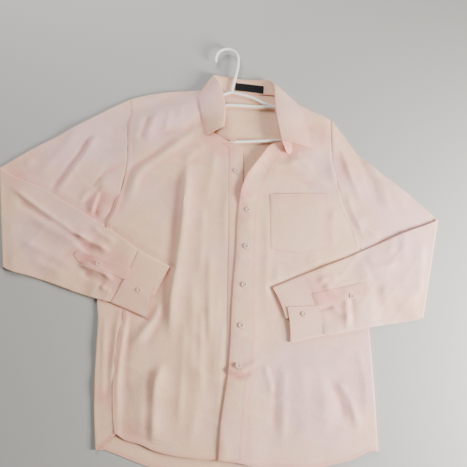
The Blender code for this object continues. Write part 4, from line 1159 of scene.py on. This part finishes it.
def cuff(side, seam, end):
    """A stiff band round the sleeve's end whose upper end laps the lower one on the visible side."""
    seam, end = np.array(seam, float), np.array(end, float)
    up_arm = unit(seam[:2] - end[:2])
    body, depth, rim = PLY + 0.5, 68, 0.045
    turn = np.linspace(0, math.pi, 9)[1:-1]
    grid = []
    for s in shares(depth, (0, 0.6, 2, 6)):
        row = mix(seam, end, s)
        lap = mix(*CUFF_LAP, s)
        bulge = (rim * math.hypot(*(row[2:4] - row[:2])) - 0.3) * np.sin(turn)
        t_top = np.append(np.linspace(lap + CUFF_UNDER, 0.07, 26), rim)
        t_low = np.concatenate(([rim], np.linspace(0.07, 0.93, 30), [1 - rim]))
        t_over = np.concatenate(([1 - rim], np.linspace(0.93, lap + 0.06, 18), lap + [0.05, 0.02, 0.006, 0]))
        over = body + (STIFF + 0.9) * smooth((0.94 - t_over) / 0.3)
        slant = CUFF_BACK * s * np.clip((1 - t_over) / (1 - lap), 0, 1)
        runs = ((t_top, body, 0, 0), (rim, body / 2 * (1 + np.cos(turn)), -bulge, 0), (t_low, 0, 0, 0),
                (1 - rim, body / 2 * (1 - np.cos(turn)), bulge, 0), (t_over, over, 0, slant))
        t, level, out, back_by = np.hstack([np.broadcast_arrays(*run) for run in runs])
        x, y, way, _ = section_line(row, t)
        grid.append(stack(x + way[0] * out + up_arm[0] * back_by, y + way[1] * out + up_arm[1] * back_by,
                          fore_low(x, y) + level))
    grid = np.stack(grid)
    s = np.linspace(0, 1, len(grid))[:, None]
    # Painted shade: pinker and darker along both edges of the cuff.
    sew("cuff_" + side, grid, thick=STIFF, painted_pink_shade=pinker_shade(np.minimum(s, 1 - s) * depth, 7, 0.7))
    lines = [np.s_[row, first:stop] for row in (3, -4) for first, stop in ((2, 26), (74, 93))]
    stitch("cuff_" + side, grid, *lines, np.s_[3:-3, 92], rise=STIFF / 2)


def cuff_top(x, y):
    return fore_low(x, y) + PLY + 1.6


def gauntlet(side, layer, slit, rows):
    """The strip sewn along the slit above a cuff, with a point at its upper end."""
    steps = np.linspace(0, 1, 26)
    runs, middles = (along(list(zip(np.linspace(0, 1, len(slit)), values)), steps) for values in zip(*slit))
    points = []
    for step, run, middle in zip(steps, runs, middles):
        at = min(len(layer) - 2 - rows + run * rows, len(layer) - 1.001)
        section = mix(layer[int(at)], layer[int(at) + 1], at % 1)
        length = run_along(section)
        half = SLIT_WIDTH / 2 * (1 - 0.75 * smooth((step - 0.86) / 0.16))
        offs = np.array([-1, -0.96, -0.86, -0.5, 0, 0.5, 0.86, 0.96, 1]) * half
        spots_here = at_length(section, length, middle * length[-1] - SLIT_WIDTH / 2 + offs)
        spots_here[:, 2] += mix(0.7, ON_TOP + 0.1, smooth((half - np.abs(offs)) / 1.2))
        points.append(spots_here)
    grid = np.stack(points)
    name = "sleeve_placket_" + side
    # Painted shade: the whole strip is painted a little pinker and darker.
    sew(name, grid, painted_pink_shade=0.5, thick=0.7)
    stitch(name, grid, np.s_[:, 2], np.s_[:, -3], np.s_[18, 2:-2], rise=0.35)


# --- collar ---
def on_front(x, y, z, above):
    """A height, or where it is None the height of a piece laid on the fronts."""
    if z is not None:
        return z
    height = top if x < 60 else left_top
    return float(height(np.array([x]), np.array([y]))[0]) + above


def collar_rows():
    """Foot, fold and edge of each section of the collar, with smooth ones in between."""
    rows = []
    for row in (*TAB_RIGHT, *COLLAR, *TAB_LEFT):
        foot, fold, edge = row[:3], row[3:6], row[6:]
        edge = (*edge[:2], on_front(*edge, 2.0)) if edge else fold
        rows.append([*foot[:2], on_front(*foot, 0.9), *fold, *edge])
    return round_path(rows, COLLAR_STEPS).reshape(-1, 3, 3)


def from_ends(count):
    """How many steps each of a number of rows is from the nearer end."""
    return np.minimum(np.arange(count), count - 1 - np.arange(count))


def collar_stand():
    rows = collar_rows()
    height = 32
    u = shares(height, EDGE_STEPS, step=3.5)
    foot, fold = rows[:, 0], rows[:, 1]
    way = unit(np.cross(fold - foot, np.gradient(foot, axis=0)))
    grid = mix(foot[:, None], fold[:, None], u[:, None]) + way[:, None] * 0.8 * np.sin(u * math.pi)[:, None]
    rounded = 0.42 * (1 - smooth(from_ends(len(rows)) / 9)) ** 2
    grid = mix(grid, grid.mean(axis=1, keepdims=True), rounded[:, None, None])
    sew("collar_stand", grid, thick=STIFF, painted_pink_shade=pinker_shade(np.minimum(u, 1 - u) * height, 5, 0.6))
    inward = unit(np.cross(np.gradient(grid, axis=0), np.gradient(grid, axis=1)))
    neck_middle = (62, 290, 30)
    inward *= np.sign(np.sum(inward * (neck_middle - grid), axis=-1, keepdims=True))
    stitch("collar_stand", grid, np.s_[3:-3, 2], np.s_[3:-3, -3], rise=STIFF / 2, up=inward)


def collar_leaf():
    """The leaf: from above the stand's edge over its fold and out to its own edge."""
    rows = collar_rows()
    tangent = np.gradient(rows[:, 1], axis=0)
    tabs = COLLAR_STEPS * len(TAB_RIGHT)
    turned = np.radians((78, 95, 115, 135, 155, 180))
    bent = len(turned)
    t = shares(48, (4,), (*EDGE_STEPS, 6.0))[:, None]
    grid = []
    for (foot, fold, edge), along_fold in zip(rows[tabs:-tabs], tangent[tabs:-tabs]):
        up = unit(fold - foot)
        out = unit(np.cross(up, along_fold))
        turn = fold + np.outer(np.cos(turned), -out * LEAF_BEND) + np.outer(np.sin(turned), up * LEAF_RISE)
        start = turn[-1]
        bend = mix(start, edge, 0.4) + out * np.linalg.norm(edge - start) * 0.08
        bend[2] = max(bend[2], min(start[2], edge[2]))
        grid.append(np.concatenate((turn, mix(mix(start, bend, t), mix(bend, edge, t), t))))
    grid = np.array(grid)
    z = grid[..., 2]
    soft = 0.5 * ripple(grid[..., 0], grid[..., 1], 24, 1.4, 30, 71)
    z[:, bent:] += soft[:, bent:] * smooth((z[:, bent:] - 4) / 4)
    z[:] = np.maximum(z, STIFF / 2 + 0.05)
    length = np.linalg.norm(grid[:, -1] - grid[:, bent - 1], axis=1)[:, None]
    # Painted shade: the leaf is painted pinker and darker near its edge and at its ends.
    rim = np.zeros(z.shape)
    rim[:, bent:] = smooth((8 - np.linspace(1, 0, len(t)) * length) / 4)
    rim = np.maximum(rim, (from_ends(len(grid)) < 3)[:, None] * 0.8)
    sew("collar_leaf", grid, thick=STIFF, painted_pink_shade=0.7 * rim)
    stitch("collar_leaf", grid, np.s_[3:40, -4], np.s_[-46:-3, -4], np.s_[2, 8:-3], np.s_[-3, 8:-3],
           rise=STIFF / 2)


# --- trimmings ---
HOLE_AT = 1.15         # a button's holes, from its middle along both ways
ROD_SIDES = 20
ROD_SQUASH = 0.95
MOULD_LINE = 0.12


def finished(work, name):
    mesh = bpy.data.meshes.new(name)
    work.to_mesh(mesh)
    work.free()
    return mesh


def skin(name, tubes, loop=False):
    """A mesh of tubes through rings of points; each is closed at its ends, or is a loop."""
    work = bmesh.new()
    for rings in tubes:
        rings = [[work.verts.new(point) for point in np.array(ring) * MM] for ring in rings]
        for low, high in zip(rings, rings[1:] + rings[:1] * loop):
            for k in range(max(len(low), len(high))):
                corners = (low[k % len(low)], low[(k + 1) % len(low)], high[(k + 1) % len(high)],
                           high[k % len(high)])
                work.faces.new(list(dict.fromkeys(corners)))
        for ring in (rings[0][::-1], rings[-1]):
            if len(ring) > 1 and not loop:
                work.faces.new(ring)
    bmesh.ops.recalc_face_normals(work, faces=work.faces)
    return finished(work, name)


def circle(count):
    """Cosines and sines of even steps round a circle."""
    angle = np.arange(count) * math.tau / count
    return np.cos(angle), np.sin(angle)


def button_mesh(radius):
    """A four-hole button with a raised rim."""
    profile = ((0.8, 0), (0.95, 0.35), (1, 0.9), (0.98, 1.5), (0.9, 1.9), (0.8, 2.0), (0.7, 1.8),
               (0.6, 1.35), (0.45, 1.2))
    c, s = circle(40)
    rings = [stack(radius * share * c, radius * share * s, height) for share, height in profile]
    disc = thing("button_blank", skin("button", [[[(0, 0, 0)], *rings, [(0, 0, 1.2)]]]))
    holes = bmesh.new()
    for x, y in ((-1, -1), (-1, 1), (1, -1), (1, 1)):
        made = bmesh.ops.create_cone(holes, cap_ends=True, segments=12, radius1=0.7 * MM, radius2=0.7 * MM,
                                     depth=6 * MM)
        bmesh.ops.translate(holes, verts=made["verts"], vec=(x * HOLE_AT * MM, y * HOLE_AT * MM, 0))
    combine(disc, thing("button_holes", finished(holes, "button_holes")), "DIFFERENCE")
    mesh = disc.data
    bpy.data.objects.remove(disc)
    return mesh


def button(name, spot, height, mesh, radius, turn):
    """A button that lies on the highest place under its rim, with its two parallel stitches."""
    c, s = circle(12)
    x, y = (np.append(middle + radius * values, middle) for middle, values in zip(spot, (c, s)))
    level = float(height(x, y).max()) + ON_TOP + 0.5
    c, s = circle(6)
    loops = [[stack(-HOLE_AT * math.cos(t), row + 0.38 * c, 0.55 + HOLE_AT * math.sin(t) ** 0.6 + 0.26 * s)
              for t in np.linspace(0, math.pi, 9)] for row in (-HOLE_AT, HOLE_AT)]
    thread = skin(name + "_thread", loops)
    thread.shade_smooth()
    for title, shape, look, stands_for in (("_disc", mesh, "button", name),
                                           ("_thread", thread, "thread", None)):
        piece = thing(name + title, shape)
        piece.location = np.array((*spot, level)) * MM
        piece.rotation_euler = (0, 0, turn)
        dress(piece, look, "button", stands_for)


def buttonhole(name, spot, height, degrees, length=13):
    """The worked edge of a buttonhole: two bars of close stitches round a slit."""
    run = math.radians(degrees)
    way = np.array([math.cos(run), math.sin(run)])
    side = np.array([-way[1], way[0]])
    count = int(length / 0.55)
    marks = [((k + 0.5) * length / count - length / 2, s) for k in range(count) for s in (-1, 1)]
    marks += [(e * (length / 2 + 0.3), s) for e in (-1, 1) for s in (-0.5, 0.5)]
    points, faces = [], []
    for off, s in marks:
        centre = np.array(spot) + way * off + side * s * 1.05
        level = float(height(centre[:1], centre[1:])[0]) + ON_TOP + 0.42
        dash = ((-0.62, 0, 0), (0, 0.24, 0.05), (0.62, 0, 0), (0, -0.24, 0.05), (0, 0, 0.3), (0, 0, -0.2))
        add_dash(points, faces, [(*(centre + side * a + way * b), level + c) for a, b, c in dash])
    piece = thing(name, points, faces)
    piece.data.shade_smooth()
    dress(piece, "thread", "cloth")


def label():
    """A bare woven tape with its ends turned under, sewn to the inside of the stand."""
    width, height = LABEL_SIZE
    v, u = np.meshgrid(shares(height, (0, 0.5, 1.5), step=2.6), shares(width, (0, 0.5, 1.5, 3), step=3.0),
                       indexing="ij")
    c, s = math.cos(math.radians(LABEL_TURN)), math.sin(math.radians(LABEL_TURN))
    dx, dy = (u - 0.5) * width, (v - 0.5) * height
    x, y = LABEL_AT[0] + dx * c - dy * s, LABEL_AT[1] + dx * s + dy * c
    rim = np.minimum(np.minimum(u, 1 - u) * width, np.minimum(v, 1 - v) * height)
    grid = stack(x, y, 5.75 + 0.35 * smooth(rim / 2.5) + 0.25 * ripple(x, y, 12, 1.5, 0, 81))
    sew("label", grid, thick=0.5, slot="label", look="tape")
    stitch("label", grid, np.s_[2, 2:-2], np.s_[2:-2, -3], np.s_[-3, -3:1:-1], np.s_[-3:1:-1, 2], rise=0.25,
           up=(0, 0, 1.0))


def rod(name, points, radius, closed=False):
    """A smooth rod through points, a little flattened, with round ends and a fine mould line."""
    line = round_path([*points, points[0]] if closed else points, 6)
    if closed:
        line = line[:-1]
        way = np.roll(line, -1, 0) - np.roll(line, 1, 0)
        size = np.ones(len(line))
    else:
        way = np.gradient(line, axis=0)
        size = np.minimum(0.35 + 0.3 * from_ends(len(line)), 1)
    side = unit(np.cross((0, 0, 1.0), unit(way)))
    up = np.cross(unit(way), side)
    c, s = circle(ROD_SIDES)
    ridge = MOULD_LINE * (np.arange(ROD_SIDES) % (ROD_SIDES // 2) == 0)
    rings = []
    for spot, share, a, b in zip(line, size, side, up):
        reach = radius * share + ridge
        rings.append(spot + np.outer(c * reach, a) + np.outer(s * reach * ROD_SQUASH, b))
    return thing(name, skin(name, [rings], closed))


def hanger():
    """Frame, strap bar and hook of a slim plastic hanger, joined into one piece."""
    corner = (BAR_DROP - ARM_DROP) / 2
    flat = HANGER_HALF - corner
    half = []
    for share in (0.03, 0.1, 0.2, 0.3, 0.42, 0.6, 0.8, 1.0):
        bow = ARM_BOW * math.sin(min(share / 0.42, 1) * math.pi)
        half.append((share * flat, ARM_DROP * share ** 1.05 * 0.95 - bow))
    for turn in np.radians((60, 30, 0, -30, -60, -90)):
        half.append((flat + corner * math.cos(turn), (ARM_DROP + BAR_DROP) / 2 - corner * math.sin(turn)))
    half += [(share * HANGER_HALF, BAR_DROP) for share in (0.6, 0.3, 0.05)]
    frame_line = [(0, 0), *half, *((-side, drop) for side, drop in reversed(half))]
    reach = STRAP_DROP / ARM_DROP * HANGER_HALF
    strap = [(side * reach, STRAP_DROP + STRAP_SLANT * max(side, 0)) for side in (-1, -0.5, 0, 0.6, 1.26)]

    def lay(spots_on_it):
        return [(x, y, hanger_z(y)) for x, y in spots_on_it]

    body = rod("hanger_frame", lay(hanger_point(*spot) for spot in frame_line), ROD - 0.2, True)
    combine(body, rod("strap", lay(hanger_point(*spot) for spot in strap), ROD - 0.5), "UNION")
    combine(body, rod("hook", lay(HOOK), ROD - 0.1), "UNION")
    dress(body, "plastic", "hanger", "hanger")


# --- floor, light and camera ---
def studio():
    bpy.ops.mesh.primitive_plane_add(size=8, location=(0, 0, -0.0004))
    ground = bpy.context.object
    ground.name = "floor"
    ground.data.materials.append(looks["floor"])
    world = bpy.data.worlds.new("studio")
    bpy.context.scene.world = world
    world.use_nodes = True
    sky = world.node_tree.nodes["Background"]
    sky.inputs["Color"].default_value = (1.0, 0.985, 0.96, 1)
    sky.inputs["Strength"].default_value = 0.22
    for title, place, aim, size, power, colour in (
            ("window", (1.12, -0.42, 0.46), (0.16, 0.05, 0), 0.42, 50, (1.0, 0.975, 0.94)),
            ("room", (-0.5, 1.25, 0.9), (-0.2, 0.4, 0), 0.9, 25, (0.97, 0.98, 1.0))):
        lamp = bpy.data.lights.new(title, "AREA")
        lamp.size = size
        lamp.energy = power
        lamp.color = colour
        holder = thing(title, lamp)
        holder.location = place
        holder.rotation_euler = (Vector(aim) - Vector(place)).to_track_quat("-Z", "Y").to_euler()
    eye = bpy.data.cameras.new("camera")
    eye.sensor_width = 36
    eye.lens = 36 * 468 / 467
    holder = thing("camera", eye)
    holder.location = (-0.03067, -0.31125, 0.92)
    holder.rotation_euler = (math.radians(18.6), math.radians(-3.5), 0)
    bpy.context.scene.camera = holder


# --- the shirt ---
def main():
    make_looks()
    front_right()
    front_left()
    back()
    yoke()
    strip("placket", np.append(np.arange(208, -426, -3.5), -426.6), NECK_LEFT, PLACKET_INNER, 0, left_top)
    strip("button_stand", np.append(np.arange(203, -425, -4.0), -425.5), NECK_RIGHT, NECK_RIGHT, -30, top)
    pocket()
    for side, armhole, upper_arm, elbow, forearm, outward, end, slit in ARMS:
        layer = sleeve(side, armhole, upper_arm, elbow, forearm, outward, end)
        cuff(side, forearm[-1], end)
        gauntlet(side, layer, slit, FORE_STEPS * len(forearm))
    collar_stand()
    collar_leaf()
    label()
    large, small = button_mesh(BUTTON_R), button_mesh(CUFF_BUTTON_R)
    for number, spot in enumerate(FRONT_BUTTONS, 1):
        button(f"button_{number}", spot, left_top, large, BUTTON_R, 0.3 * number)
        buttonhole(f"buttonhole_{number}", spot, left_top, 90)
    buttonhole("buttonhole_open", OPEN_HOLE, left_top, 55)
    button("button_open", OPEN_BUTTON, top, large, BUTTON_R, 0.5)
    for side, spot in CUFF_BUTTONS.items():
        button(f"cuff_button_{side}", spot, cuff_top, small, CUFF_BUTTON_R, 0.4)
    for side, spot in GAUNTLET_BUTTONS.items():
        button(f"gauntlet_button_{side}", spot, fore_top, small, CUFF_BUTTON_R, 0.9)
    hanger()
    threads = sew_threads()
    for name, (width, length, area, held, under) in SHEETS.items():
        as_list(threads.get(name, []))


main()
studio()
